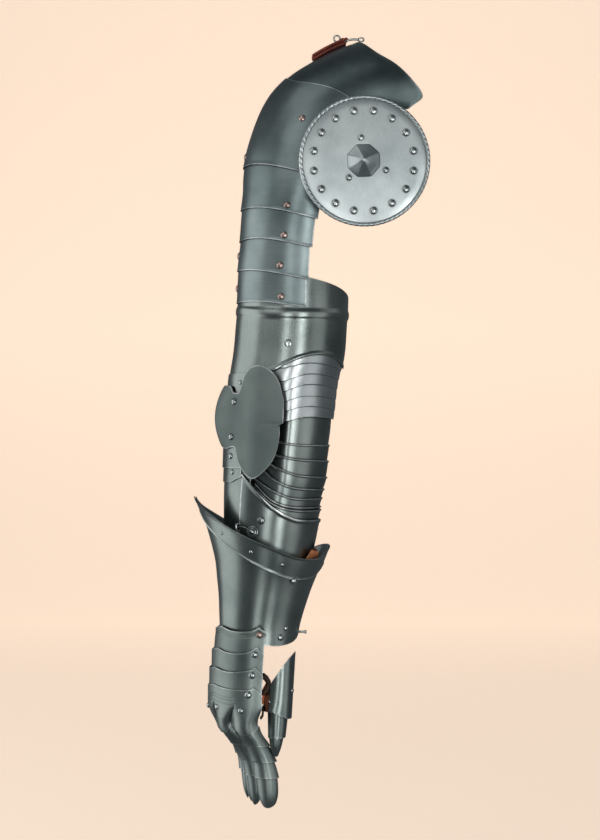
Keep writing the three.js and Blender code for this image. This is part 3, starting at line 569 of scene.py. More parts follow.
# Couter: the elbow plate, a domed cop on the outer side that runs into an oval wing on the front and back.
# Each wing has a shallow cut in its edge with a crease that runs in from it.
COUTER_TOP = [(0, 0.772), (24, 0.774), (29, 0.778), (32, 0.787), (38, 0.790), (44, 0.788), (47.5, 0.774),
              (50, 0.758), (53, 0.7455), (59, 0.7345), (66, 0.7305), (74, 0.7365),
              (81, 0.750), (86, 0.7705), (90, 0.806)]
COUTER_BOTTOM = [(0, 0.905), (24, 0.913), (36, 0.909), (42, 0.913), (48, 0.9405), (59, 0.9665), (68, 0.9772),
                 (77, 0.962), (85, 0.931), (90, 0.878)]
CREASE_DOWN = 429.0
CREASE_DEEP = 0.9
COP_HIGH = 9.0
WING_HIGH = 9.5
# Its pale edge colour is wear and also a painted highlight along the rim of the couter.
MATTE_STEEL = steel("matte_steel", (0.22, 0.27, 0.255), (0.32, 0.37, 0.35), 0.64, (0.98, 1.0, 0.99),
                    wear_and_glint_mm=1.5)
couter_top = edge_line(COUTER_TOP)
couter_low = edge_line(COUTER_BOTTOM)


def couter_height(turn, share):
    """Height of the couter off the arm: a cop on the outer side and a wing that stands clear of the lames."""
    cop = COP_HIGH * np.sin(np.pi * share) ** 0.8 * (1 - smooth(turn / 48))
    wing = WING_HIGH * smooth((turn - 36) / 36)
    return 3 * LAYER + 0.6 + cop + wing


couter_angles, couter_share = np.meshgrid(np.linspace(-90, 90, 181), np.linspace(0, 1, 60))
couter_high = couter_top(couter_angles)
couter_down = couter_high + (couter_low(couter_angles) - couter_high) * couter_share
couter_turn = fold(couter_angles)
crease = np.exp(-((couter_down - CREASE_DOWN) / 1.6) ** 2) * smooth((couter_turn - 66) / 14)
below = smooth((couter_down - CREASE_DOWN + 1) / 2) * smooth((CREASE_DOWN + 30 - couter_down) / 30)
couter_lift = couter_height(couter_turn, couter_share) - CREASE_DEEP * crease
cut = couter_angles * (1 - 0.030 * below * smooth((couter_turn - 70) / 20))
shell("couter", arm_point(couter_down, cut, couter_lift), arm_point(couter_down, cut, couter_lift - SHEET),
      MATTE_STEEL, "couter", node="couter")

# Lower cannon: the forearm tube in two halves, hinged behind and closed in front.
# The half at the crook laps over the outer one and has a rolled upper edge.
FORE_START = 0.962
FORE_END = 1.240
FORE_SEAM = 50
MM_PER_DEGREE = 1.07
fore_low = lambda angle: FORE_END * ARM_LENGTH + 0 * angle
fore_lift = lambda a, v, d: LAYER + rolled(d - fore_top(a))
turn, share = np.meshgrid(np.linspace(-60, 60, 121), np.linspace(0, 1, 24))
fore_down = (FORE_START + (FORE_END - FORE_START) * share) * ARM_LENGTH
# The outer half's cover is its distance from the seam, along which the steel paints a shadow line under the
# lapping inner half.
shell("lower_cannon_outer", arm_point(fore_down, turn, 0.0), arm_point(fore_down, turn, -SHEET), DARK_STEEL,
      "forearm", node="lower_cannon_outer", cover=(fold(turn) - FORE_SEAM) * MM_PER_DEGREE)
plate("lower_cannon_inner", np.linspace(FORE_SEAM, 360 - FORE_SEAM, 131), fore_top, fore_low, fore_lift,
      "forearm", LINED_STEEL, rows=70, swell=0)

# Gauntlet cuff: a flared cone of one sheet with a separate border riveted around its mouth.
# Down as a share of CUFF_LENGTH; middle, half width and half depth as shares of CUFF_WIDTH
CUFF_STEEL = steel("cuff_steel", (0.22, 0.265, 0.25), (0.33, 0.38, 0.36), 0.32, (0.80, 0.86, 0.84),
                   wear_and_glint_mm=0.9)
CUFF_LENGTH = 168.0
CUFF_WIDTH = 140.0
CUFF_TOP_Z = -505.0
CUFF_FORM = [
    (-0.100, -0.664, 0.612, 0.560), (0.014, -0.659, 0.592, 0.540), (0.134, -0.649, 0.544, 0.505),
    (0.264, -0.649, 0.495, 0.465), (0.426, -0.660, 0.436, 0.412), (0.548, -0.684, 0.396, 0.372),
    (0.667, -0.705, 0.362, 0.338), (0.867, -0.737, 0.321, 0.290), (1.014, -0.742, 0.300, 0.266),
]
CUFF_RIM = [(0, 0.010), (12, 0.060), (30, 0.122), (60, 0.234), (90, 0.330), (120, 0.402), (150, 0.415),
            (180, 0.378)]
CUFF_END = [(0, 0.890), (60, 0.930), (110, 0.985), (150, 0.970), (180, 0.920)]
BORDER_DEEP = [(0, 0.095), (40, 0.135), (90, 0.150), (180, 0.110)]
# The rim stands higher behind: by how much, at which angle and over how many degrees
RIM_RISE, RISE_ANGLE, RISE_OVER = 0.075, 205, 28


def cuff_point(down, angle, off):
    wide = along(CUFF_FORM, 2, down) * CUFF_WIDTH + off
    deep = along(CUFF_FORM, 3, down) * CUFF_WIDTH + off
    x = along(CUFF_FORM, 1, down) * CUFF_WIDTH - wide * np.cos(np.radians(angle))
    y = -deep * np.sin(np.radians(angle))
    return np.stack([x, y, CUFF_TOP_Z - down * CUFF_LENGTH + 0 * x], -1)


def cuff_plate(name, top, low, lift, rows):
    angle, share = np.meshgrid(FULL_TURN, np.linspace(0, 1, rows))
    high, bottom = top(angle), low(angle)
    down = high + (bottom - high) * share
    off = lift(angle, share)
    shell(name, cuff_point(down, angle, off), cuff_point(down, angle, off - SHEET), CUFF_STEEL, "forearm",
          node=name, wrap=True)


rim_at = lambda a: along(CUFF_RIM, 1, fold(a)) - RIM_RISE * np.exp(-((a - RISE_ANGLE) / RISE_OVER) ** 2)
end_at = lambda a: along(CUFF_END, 1, fold(a))
border_at = lambda a: rim_at(a) + along(BORDER_DEEP, 1, fold(a))
border_lift = lambda a, v: LAYER + 0.6 * smooth(1 - 9 * v) + 0.9 * smooth(12 * v - 11)
cuff_plate("gauntlet_cuff", rim_at, end_at, lambda a, v: 0 * a, 60)
cuff_plate("cuff_border", rim_at, border_at, border_lift, 40)

# Hand plates: three lames over the back of the hand, riveted at their sides so that the wrist can bend.
# The back of the hand faces outwards and a little to the front.
HAND_STEEL = steel("hand_steel", (0.22, 0.265, 0.25), (0.33, 0.38, 0.36), 0.42, (0.82, 0.88, 0.86),
                   wear_and_glint_mm=1.0)
HAND_LENGTH = 200.0
HAND_WIDTH = 100.0
HAND_TOP_Z = -650.0
HAND_TURN = math.radians(28)
# Down as a share of HAND_LENGTH, middle as a share of HAND_WIDTH
HAND_FORM = [(-0.10, -1.085), (0.00, -1.100), (0.14, -1.134), (0.24, -1.148), (0.34, -1.160), (0.60, -1.165),
             (1.00, -1.165)]
BACK = (-math.cos(HAND_TURN), -math.sin(HAND_TURN))
SIDE = (math.sin(HAND_TURN), -math.cos(HAND_TURN))
HAND_LAYER = 1.4
HAND_SPAN = 78
HAND_UNDERLAP = 4.5
# Upper edge at the ridge, a quarter round, beside the rivet, at its peak and at the end, as shares of
# HAND_LENGTH
HAND_TOPS = [
    (0.000, 0.020, 0.020, -0.006, 0.020), (0.122, 0.140, 0.138, 0.106, 0.145),
    (0.228, 0.244, 0.238, 0.216, 0.260), (0.322, 0.336, 0.340, 0.326, 0.366),
]


def hand_spot(down, back, side):
    middle = along(HAND_FORM, 1, np.asarray(down) / HAND_LENGTH) * HAND_WIDTH
    x = middle + back * BACK[0] + side * SIDE[0]
    return np.stack([x, back * BACK[1] + side * SIDE[1] + 0 * x, HAND_TOP_Z - down + 0 * x], -1)


def hand_point(down, angle, off):
    turn = np.radians(angle)
    return hand_spot(down, (0.38 * HAND_WIDTH + off) * np.cos(turn), (0.47 * HAND_WIDTH + off) * np.sin(turn))


def hand_top(row):
    ridge, quarter, beside, peak, end = row
    points = [(0, ridge), (25, quarter), (50, beside), (62, peak + 0.011), (66, peak), (70, peak + 0.013),
              (HAND_SPAN, end)]
    return lambda a: along(points, 1, fold(a)) * HAND_LENGTH


GRAVED_HALF_WIDE = 0.6


def graved_lines(from_edge, lines, deep):
    """Depth of engraved lines at a distance in mm from the edge that they follow."""
    return sum(deep * np.exp(-((from_edge - at) / GRAVED_HALF_WIDE) ** 2) for at in lines)


hand_tops = [hand_top(row) for row in HAND_TOPS]
HAND_ANGLES = np.linspace(-HAND_SPAN, HAND_SPAN, 105)
for n in range(3):
    angle, share = np.meshgrid(HAND_ANGLES, np.linspace(0, 1, 64))
    top, low = hand_tops[n](angle), hand_tops[n + 1](angle) + HAND_UNDERLAP
    down = top + (low - top) * share
    tuck = 0.5 * smooth((down - low + HAND_UNDERLAP) / HAND_UNDERLAP)
    turned = 1.0 * (1 - share) ** 2
    graved = graved_lines(down - top, (4.0, 6.2), 0.4) if n == 0 else 0.0
    lift = (n + 1) * HAND_LAYER - tuck + turned - graved
    back = (n + 1) * HAND_LAYER - tuck + turned - SHEET
    shell(f"hand_lame_{n + 1}", hand_point(down, angle, lift), hand_point(down, angle, back),
          HAND_STEEL, f"wrist_{n + 1}", node=f"hand_lame_{n + 1}")

# Knuckle plate: one sheet with engraved lines that is hammered into four lobes, one over each knuckle.
# It follows the hand at its upper edge, where it turns on rivets at its sides.
# Fingers: name, back, side and radius as shares of HAND_WIDTH, facing in degrees, curl towards the palm
FINGERS = [
    ("index_finger", 0.15, 0.285, 0.160, 44, 1.00), ("middle_finger", 0.27, 0.075, 0.130, 8, 1.30),
    ("ring_finger", 0.20, -0.14, 0.120, -14, 1.28), ("little_finger", 0.09, -0.34, 0.112, -30, 1.05),
]
CURL = [(0.50, 0.0), (0.58, 0.030), (0.65, 0.120), (0.75, 0.215), (0.85, 0.258), (1.02, 0.280)]
LOBE_SPAN = 60
LOBE_END = 0.587
LOBE_ROUND = 0.04
LOBE_NOTCH = 0.004
KNUCKLE_LINES = (9.5, 12.5, 17.0)
KNUCKLE_LINES_DEEP = 0.45
KNUCKLE_LINES_END = 34


def finger_point(finger, share, angle, off):
    back, side, radius, turn, curl = finger[1:]
    shift = along(CURL, 1, share) * curl
    way = np.radians(turn + angle)
    reach = radius * HAND_WIDTH + off
    return hand_spot(share * HAND_LENGTH, (back - shift) * HAND_WIDTH + reach * np.cos(way),
                     side * HAND_WIDTH + reach * np.sin(way))


def knuckle_point(u, v, down_face):
    which = np.minimum(np.floor((1 - u) * 4 + 1e-9), 3)
    within = (1 - u) * 4 - which
    angle = -HAND_SPAN + 2 * HAND_SPAN * u
    high = hand_tops[3](angle) / HAND_LENGTH
    side = np.abs(2 * within - 1)
    low = LOBE_END - LOBE_ROUND * (side ** 2 + 0.4 * (which == 3)) - LOBE_NOTCH * side ** 10
    share = high + (low - high) * v
    mix = smooth((v - 0.36) / 0.56)[..., None]
    graved = 0.0
    if down_face == 0:
        graved = graved_lines((share - high) * HAND_LENGTH, KNUCKLE_LINES, KNUCKLE_LINES_DEEP)
        graved = graved * (1 - smooth((angle - KNUCKLE_LINES_END) / 10))
    plain = hand_point(share * HAND_LENGTH, angle, 4 * HAND_LAYER - graved - down_face * SHEET)
    lobed = np.zeros_like(plain)
    for k, finger in enumerate(FINGERS):
        there = finger_point(finger, share, LOBE_SPAN * (1 - 2 * within), 0.7 - graved - down_face * SHEET)
        lobed = np.where((which == k)[..., None], there, lobed)
    return plain + (lobed - plain) * mix


u, v = np.meshgrid(np.linspace(0, 1, 121), np.linspace(0, 1, 110))
shell("knuckle_plate", knuckle_point(u, v, 0), knuckle_point(u, v, 1), HAND_STEEL, "hand",
      node="knuckle_plate")

# Finger lames: four down each finger, of the steel of the hand, held by the leather of the glove.
# Each one is tucked inside the flared end of the one above it, and the last is rounded to a tip.
# Top and bottom as shares of HAND_LENGTH
FINGER_LAMES = [(0.545, 0.655), (0.633, 0.745), (0.723, 0.835), (0.813, 1.005)]
# Degrees that each lame reaches round the finger to either side
FINGER_SPANS = (82, 82, 72, 72)
FINGER_STEP = 0.2
FLARE = 2.1
TIP_ROUND = 0.03
TIP_NARROW = 5.0
for finger in FINGERS:
    for n, (top, low) in enumerate(FINGER_LAMES):
        reach = FINGER_SPANS[n]
        angle, share = np.meshgrid(np.linspace(-reach, reach, 37), np.linspace(top, low, 18))
        t = (share - top) / (low - top)
        tip = t * t if n == 3 else 0 * t
        down = share - TIP_ROUND * (1 - np.cos(np.radians(angle))) * tip
        lift = -FINGER_STEP * n - FLARE * (1 if n == 3 else 1 - t) - TIP_NARROW * tip * tip
        lame_name = f"{finger[0]}_lame_{n + 1}"
        outer = finger_point(finger, down, angle, lift)
        inner = finger_point(finger, down, angle, lift - SHEET)
        shell(lame_name, outer, inner, HAND_STEEL, "hand", node=lame_name)

# Thumb plates: a base plate with a long point and two lames, of the steel of the cuff, open towards the palm.
# They hang beside the hand on the leather of the glove.
THUMB_FACE = 27
THUMB_PLACE = (-82.5, -30.0)
THUMB_TOP = -674.0
THUMB_BACK = 72
THUMB_FLARE = 2.4
THUMB_LOW = 68.5
THUMB_LOW_DROP = 8
# Edge of the base plate on the hand's side: share down, angle
THUMB_EDGE = [(0.00, 44), (0.03, 28), (0.11, 2), (0.40, -44), (0.66, -84), (0.88, -110), (0.96, -106),
              (1.00, -84)]
# Name, top and bottom below THUMB_TOP, radius at both, shift to the side at both, rounded tip, rows
THUMB_PIECES = [
    ("thumb_base_plate", 3.6, 72, 16.5, 15.2, (3.0, 0.0), 0, 40),
    ("thumb_lame_1", 62, 98, 12.9, 10.4, (-0.5, -2.0), 0, 18),
    ("thumb_lame_2", 90, 119, 9.0, 4.0, (-2.0, -3.5), 1, 18),
]


def thumb_point(z, angle, radius, shift):
    way = np.radians(angle + THUMB_FACE)
    x = THUMB_PLACE[0] + shift + radius * np.sin(way)
    return np.stack([x, THUMB_PLACE[1] - radius * np.cos(way) + 0 * x, z + 0 * x], -1)


for name, top, low, upper, lower, shift, tip, rows in THUMB_PIECES:
    u, v = np.meshgrid(np.linspace(0, 1, 49), np.linspace(0, 1, rows))
    base = name == "thumb_base_plate"
    start = along(THUMB_EDGE, 1, v) if base else -86
    angle = start + (THUMB_BACK - start) * u
    radius = upper + (lower - upper) * (v * v if tip else v)
    radius = radius + (THUMB_FLARE * v ** 4 * smooth(-angle / 70) if base else 0)
    rounded = 3 * (1 - np.cos(np.radians(angle))) * v if tip else 0
    end = THUMB_LOW + THUMB_LOW_DROP * smooth((angle + 60) / 90) if base else low
    z = THUMB_TOP - top - (end - top) * v + rounded
    slide = shift[0] + (shift[1] - shift[0]) * v
    outer, inner = thumb_point(z, angle, radius, slide), thumb_point(z, angle, radius - SHEET, slide)
    shell(name, outer, inner, CUFF_STEEL, "hand", node=name)


# Glove leather: a tan lining in the cuff and the redder web of hide that carries the thumb plates.
# It is soft, with a fine grain, and darker where hands have rubbed it.
def hide(name, dark, light, rough):
    """Leather: a clouded colour and fine pores."""
    material = bpy.data.materials.new(name)
    material.use_nodes = True
    nodes, links = material.node_tree.nodes, material.node_tree.links
    skin = nodes["Principled BSDF"]
    place = nodes.new("ShaderNodeTexCoord")
    stain = nodes.new("ShaderNodeTexNoise")
    stain.inputs["Scale"].default_value = 60.0
    stain.inputs["Detail"].default_value = 6.0
    links.new(place.outputs["Object"], stain.inputs["Vector"])
    tone = nodes.new("ShaderNodeValToRGB")
    tone.color_ramp.elements[0].position = 0.3
    tone.color_ramp.elements[0].color = (*dark, 1.0)
    tone.color_ramp.elements[1].position = 0.7
    tone.color_ramp.elements[1].color = (*light, 1.0)
    links.new(stain.outputs["Fac"], tone.inputs["Fac"])
    links.new(tone.outputs["Color"], skin.inputs["Base Color"])
    pores = nodes.new("ShaderNodeTexVoronoi")
    pores.inputs["Scale"].default_value = 900.0
    links.new(place.outputs["Object"], pores.inputs["Vector"])
    bump = nodes.new("ShaderNodeBump")
    bump.inputs["Strength"].default_value = 0.35
    bump.inputs["Distance"].default_value = 0.0003
    links.new(pores.outputs["Distance"], bump.inputs["Height"])
    links.new(bump.outputs["Normal"], skin.inputs["Normal"])
    skin.inputs["Roughness"].default_value = rough
    return material


TAN_HIDE = hide("tan_hide", (0.50, 0.18, 0.075), (0.80, 0.35, 0.17), 0.62)
LEATHER = 2.0
LINING_END = 0.63
# Upper edge of the lining and where it starts to cross over, as shares of ARM_LENGTH; its tab stands higher
LINING_TOP = 1.165
LINING_CROSS = 1.195
TAB_HIGH = 0.027
angle, share = np.meshgrid(FULL_TURN, np.linspace(0, 1, 16))


def lining(face):
    """One face of the lining: it hugs the lower cannon, then crosses to the inside of the cuff."""
    seam = LAYER * smooth((fold(angle) - FORE_SEAM + 9) / 4)
    crumple = 1.2 * np.sin(np.radians(angle * 11)) * smooth((fold(angle) - 140) / 10) * (1 - share) ** 2
    stand = (5 + crumple) * (1 - share) ** 2 * smooth((fold(angle) - 60) / 60)
    lift = seam + 0.5 + LEATHER * (1 - face) + stand
    tab = smooth((fold(angle) - 138) / 10) * (1 - smooth((fold(angle) - 163) / 8))
    top_at = LINING_TOP - TAB_HIGH * tab + 0.004 * np.cos(np.radians(angle * 9))
    high = arm_point((top_at + (LINING_CROSS - top_at) * share) * ARM_LENGTH, angle, lift)
    low = cuff_point(LINING_END + 0 * angle, angle, -SHEET - 0.4 - LEATHER * face)
    return high + (low - high) * (smooth((share - 0.72) / 0.28) * (share > 0.72))[..., None]


shell("wrist_leather", lining(0), lining(1), TAN_HIDE, "forearm", node="wrist_leather",
      wrap=True)

WEB_ANGLES = np.array([-114, -104, -94, -82, -70, -59, -48], float)
WEB_DOWN = 79
WEB_HIGH = 16
web = []
for face in (0, 1):
    v = np.linspace(0, 1, 12)
    z = HAND_TOP_Z - WEB_DOWN - WEB_HIGH * v
    hand_end = hand_point(HAND_TOP_Z - z, 70 + 0 * v, 4.0 - 4.5 * v * v - LEATHER * face)
    thumb_end = [thumb_point(z + 17, a + 0 * v, 13.6 - LEATHER * face, 0) for a in WEB_ANGLES]
    bridge = [hand_end + (thumb_end[0] - hand_end) * t for t in (0.33, 0.67)]
    web.append(np.stack([hand_end, *bridge, *thumb_end], 1))
WEB_HIDE = hide("web_hide", (0.62, 0.15, 0.065), (0.88, 0.27, 0.13), 0.6)
shell("thumb_leather", web[0], web[1], WEB_HIDE, "hand", node="thumb_leather")

# Glove straps: a dark leather strap that curls out beside the web of the thumb, and the end of it below.
# They are sewn to the glove inside the plates.
DARK_HIDE = hide("dark_hide", (0.020, 0.012, 0.009), (0.070, 0.038, 0.026), 0.5)


def ribbon(name, path, wide, thick, y, material, body, node=None):
    """A strap along a path in the plane of the arm, wide across it."""
    way = np.gradient(path, axis=0)
    way = way / np.linalg.norm(way, axis=1, keepdims=True)
    normal = np.stack([-way[:, 1], way[:, 0]], 1) * thick / 2
    across = np.linspace(-0.5, 0.5, 7) * wide
    sides = []
    for lift in (1, -1):
        line = path + normal * lift
        sides.append(np.stack([np.repeat(line[:, :1], 7, 1), y + np.tile(across, (len(path), 1)),
                               np.repeat(line[:, 1:], 7, 1)], -1))
    return shell(name, sides[0], sides[1], material, body, node=node)


GLOVE_Y = -34.0
GLOVE_CURL = [(-99.5, -703.0), (-95.5, -706.5), (-92.8, -711.0), (-93.2, -715.5), (-96.0, -719.5),
              (-99.0, -723.0)]
GLOVE_TAIL = [(-100.5, -738.0), (-99.0, -742.5), (-99.5, -747.5), (-101.5, -750.5)]
ribbon("glove_strap", np.array(GLOVE_CURL), 13.0, 5.2, GLOVE_Y, DARK_HIDE, "hand")
ribbon("glove_strap_end", np.array(GLOVE_TAIL), 10.0, 2.4, GLOVE_Y, DARK_HIDE, "hand")

# Rondel: a round shallow dish of pale steel over the armpit, turned over at the rim into a twisted rope.
# It hangs from the shoulder plates on a leather behind it.
SILVER_STEEL = steel("silver_steel", (0.50, 0.56, 0.56), (0.80, 0.86, 0.85), 0.36, (0.90, 0.93, 0.92),
                     grain=(1.0, 1.0, 0.3))
RONDEL_RADIUS = 71.0
RONDEL_PLACE = (11.5, -88.0, -141.4)
# Radius as a share of RONDEL_RADIUS, height towards the back in mm: front face out to the rim, then back in
DISH = [
    (0.0, -3.2), (0.2, -3.1), (0.4, -2.8), (0.55, -2.3), (0.7, -1.7), (0.82, -1.2), (0.92, -0.8),
    (0.943, -0.3), (0.946, 1.6), (0.93, 0.9), (0.7, 0.5), (0.55, 0.2), (0.3, 0.1), (0.0, 0.0),
]


def turned(name, profile, turns, place, material, body, slot, node):
    """A solid turned about a line through the place towards the viewer."""
    spin = np.radians(np.arange(turns) * 360 / turns)
    points, faces = [], []
    for radius, height in profile[1:-1]:
        for s in spin:
            x, z = radius * math.cos(s), radius * math.sin(s)
            points.append((place[0] + x, place[1] + height, place[2] + z))
    rings = len(profile) - 2
    for r in range(rings - 1):
        for i in range(turns):
            j = (i + 1) % turns
            faces.append((r * turns + i, r * turns + j, (r + 1) * turns + j, (r + 1) * turns + i))
    first, last = len(points), len(points) + 1
    points.append((place[0], place[1] + profile[0][1], place[2]))
    points.append((place[0], place[1] + profile[-1][1], place[2]))
    for i in range(turns):
        j = (i + 1) % turns
        faces.append((first, j, i))
        faces.append((last, (rings - 1) * turns + i, (rings - 1) * turns + j))
    made = piece(name, points, [face[::-1] for face in faces], material, body, sharp=40)
    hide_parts(node)
    return made


dish_profile = [(share * RONDEL_RADIUS, height) for share, height in DISH]
turned("rondel_disc", dish_profile, 160, RONDEL_PLACE, SILVER_STEEL, "upper_arm", "silver_steel",
       "rondel_disc")

ROPE_RADIUS = 2.2
ROPE_REACH = 0.970
ROPE_TWISTS = 74
ROPE_STEPS = ROPE_TWISTS * 9
ROPE_SIDES = 16
around = np.linspace(0, 2 * np.pi, ROPE_STEPS, endpoint=False)
section = np.linspace(0, 2 * np.pi, ROPE_SIDES, endpoint=False)
around, section = np.meshgrid(around, section, indexing="ij")
strand = ROPE_RADIUS * (1 - 0.36 * np.abs(np.sin((ROPE_TWISTS * around + 1.6 * section) / 2)) ** 8)
reach = ROPE_REACH * RONDEL_RADIUS + strand * np.cos(section)
rope_x = RONDEL_PLACE[0] + reach * np.cos(around)
rope_y = RONDEL_PLACE[1] - 0.3 + strand * np.sin(section)
rope_z = RONDEL_PLACE[2] + reach * np.sin(around)
rope_points = np.stack([rope_x, rope_y, rope_z], -1).reshape(-1, 3)
rope_faces = []
for i in range(ROPE_STEPS):
    for j in range(ROPE_SIDES):
        here, there = i * ROPE_SIDES, (i + 1) % ROPE_STEPS * ROPE_SIDES
        j2 = (j + 1) % ROPE_SIDES
        rope_faces.append((here + j2, there + j2, there + j, here + j))
piece("rondel_rope", rope_points, rope_faces, SILVER_STEEL, "upper_arm", sharp=60)

# Boss: a cone of eight hammered facets whose foot sweeps out flat onto the dish.
# It is of the same pale steel and is riveted on from behind.
BOSS_RADIUS = 19.0
BOSS_FACETS = 8
BOSS_SIDES = 72
BOSS_BACK = 2.6
BOSS_TIP = 17.0
BOSS_PROFILE = [(1.0, 0.4), (1.0, -0.5), (0.90, -1.6), (0.78, -3.6), (0.62, -6.4), (0.45, -9.3),
                (0.28, -12.0), (0.12, -13.8)]
boss_x, boss_y, boss_z = RONDEL_PLACE[0] - 1, RONDEL_PLACE[1], RONDEL_PLACE[2]
boss_points, boss_faces = [], []
for share, height in BOSS_PROFILE:
    for spin in np.radians(np.arange(BOSS_SIDES) * 360 / BOSS_SIDES):
        within = (spin + 0.35) % (2 * math.pi / BOSS_FACETS) - math.pi / BOSS_FACETS
        flat = math.cos(math.pi / BOSS_FACETS) / math.cos(within)
        reach = share * BOSS_RADIUS * (1 - 0.9 * (1 - flat))
        x, z = boss_x + reach * math.cos(spin), boss_z + reach * math.sin(spin)
        boss_points.append((x, boss_y - BOSS_BACK + height, z))
top_ring = (len(BOSS_PROFILE) - 1) * BOSS_SIDES
foot, peak = len(boss_points), len(boss_points) + 1
boss_points += [(boss_x, boss_y - BOSS_BACK, boss_z), (boss_x, boss_y - BOSS_TIP, boss_z)]
for i in range(BOSS_SIDES):
    j = (i + 1) % BOSS_SIDES
    for ring in range(0, top_ring, BOSS_SIDES):
        boss_faces.append((ring + i, ring + j, ring + BOSS_SIDES + j, ring + BOSS_SIDES + i))
    boss_faces += [(foot, j, i), (peak, top_ring + i, top_ring + j)]
boss = piece("rondel_boss", boss_points, boss_faces, SILVER_STEEL, "upper_arm", sharp=70)
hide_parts("rondel_boss")

# Straps: red-brown leather. One is doubled over the top of the cap and carries the buckle.
# The other ties the rondel to the second shoulder lame.
RED_HIDE = hide("red_hide", (0.15, 0.030, 0.020), (0.36, 0.085, 0.058), 0.45)
TIE_WIDE = 16
# Rows of the tie: distance down the arm, or side and height from the middle of the rondel
TIE_ROWS = [(64, None), (80, None), (-14, 30), (-5, 14), (0, -9)]
tie = []
for face in (0, 1):
    rows = []
    for first, second in TIE_ROWS:
        u = np.linspace(0, 1, 9)
        if second is None:
            rows.append(arm_point(first + 0 * u, 96 + 12 * (u - 0.5), 5 * LAYER + 0.4 + LEATHER * (1 - face)))
        else:
            x = RONDEL_PLACE[0] + first + TIE_WIDE * (u - 0.5)
            y = RONDEL_PLACE[1] + 0.5 + LEATHER * face
            rows.append(np.stack([x, y + 0 * x, RONDEL_PLACE[2] + second + 0 * x], -1))
    tie.append(np.stack(rows))
shell("rondel_strap", tie[0], tie[1], RED_HIDE, "upper_arm", node="rondel_strap")

STRAP_INNER = BEND_RADIUS + 0.491 * ARM_WIDTH + 4 * LAYER + 0.4
STRAP_WIDE = 20.0
STRAP_THICK = 2.6
STRAP_FROM, STRAP_TO = 57.2, 69.5
STRAP_GAP = 0.6
fold_radius = STRAP_THICK / 2 + STRAP_GAP
fold_middle = STRAP_INNER + STRAP_THICK + STRAP_GAP
strap_run = [(STRAP_INNER + STRAP_THICK / 2, turn) for turn in np.linspace(STRAP_TO, STRAP_FROM, 16)]
for around in np.radians(np.linspace(-90, 90, 12)[1:-1]):
    past_end = math.degrees(fold_radius * math.cos(around) / fold_middle)
    strap_run.append((fold_middle + fold_radius * math.sin(around), STRAP_FROM - past_end))
for turn in np.linspace(STRAP_FROM, STRAP_TO + 1.0, 17):
    strap_run.append((fold_middle + fold_radius, turn))
strap_path = []
for radius, turn in strap_run:
    way = math.radians(turn)
    strap_path.append((BEND_X - radius * math.cos(way), BEND_Z + radius * math.sin(way)))
ribbon("hanging_strap", np.array(strap_path), STRAP_WIDE, STRAP_THICK, 0.0, RED_HIDE, "upper_arm",
       node="hanging_strap")
loop_turns = np.radians(np.linspace(200, -110, 16))
loop_path = np.array([(-10.6 + 2.3 * math.cos(t), 3.4 + 2.3 * math.sin(t)) for t in loop_turns])
ribbon("hanging_strap_end", loop_path, 9.0, 1.2, 0.0, RED_HIDE, "upper_arm")


# Buckle: a silvered bar on the strap with an eye at one end and a ring at the other.
# All three are bent from round wire.
def wire(name, path, radius, closed, material, body):
    """Round wire along a path in mm, with flat ends, or closed into a ring."""
    curve = bpy.data.curves.new(name, "CURVE")
    curve.dimensions = "3D"
    curve.bevel_depth = radius / 1000
    curve.bevel_resolution = 4
    line = curve.splines.new("POLY")
    line.points.add(len(path) - 1)
    for point, place in zip(line.points, path):
        point.co = (*(c / 1000 for c in place), 1.0)
    line.use_cyclic_u = closed
    curve.use_fill_caps = True
    holder = bpy.data.objects.new(name + "_line", curve)
    bpy.context.scene.collection.objects.link(holder)
    mesh = bpy.data.meshes.new_from_object(holder.evaluated_get(bpy.context.evaluated_depsgraph_get()))
    bpy.data.objects.remove(holder)
    mesh.materials.clear()
    mesh.materials.append(material)
    mark_plain(mesh)
    mesh.shade_smooth()
    made = bpy.data.objects.new(name, mesh)
    bpy.context.scene.collection.objects.link(made)
    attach(made, body)
    return made


def hoop(place, radius, tall):
    """Path of a ring; tall is how upright it stands."""
    path = []
    for spin in np.linspace(0, 2 * np.pi, 32, endpoint=False):
        x, up = radius * math.cos(spin), radius * math.sin(spin)
        path.append((place[0] + x, place[1] - (1 - tall) * up, place[2] + tall * up))
    return path


BAR_PATH = [(-9.0, -5, 2.2), (-4.0, -6, 3.6), (2.0, -7, 4.2), (6.6, -7, 3.8)]
bar = wire("hanging_buckle", BAR_PATH, 1.3, False, SILVER_STEEL, "upper_arm")
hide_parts("hanging_buckle")
wire("buckle_eye", hoop((10.0, -6, 3.9), 3.1, 0.62), 0.9, True, SILVER_STEEL, "upper_arm")
wire("buckle_ring", hoop((-17.0, -3, 5.6), 3.4, 1.0), 1.0, True, SILVER_STEEL, "upper_arm")

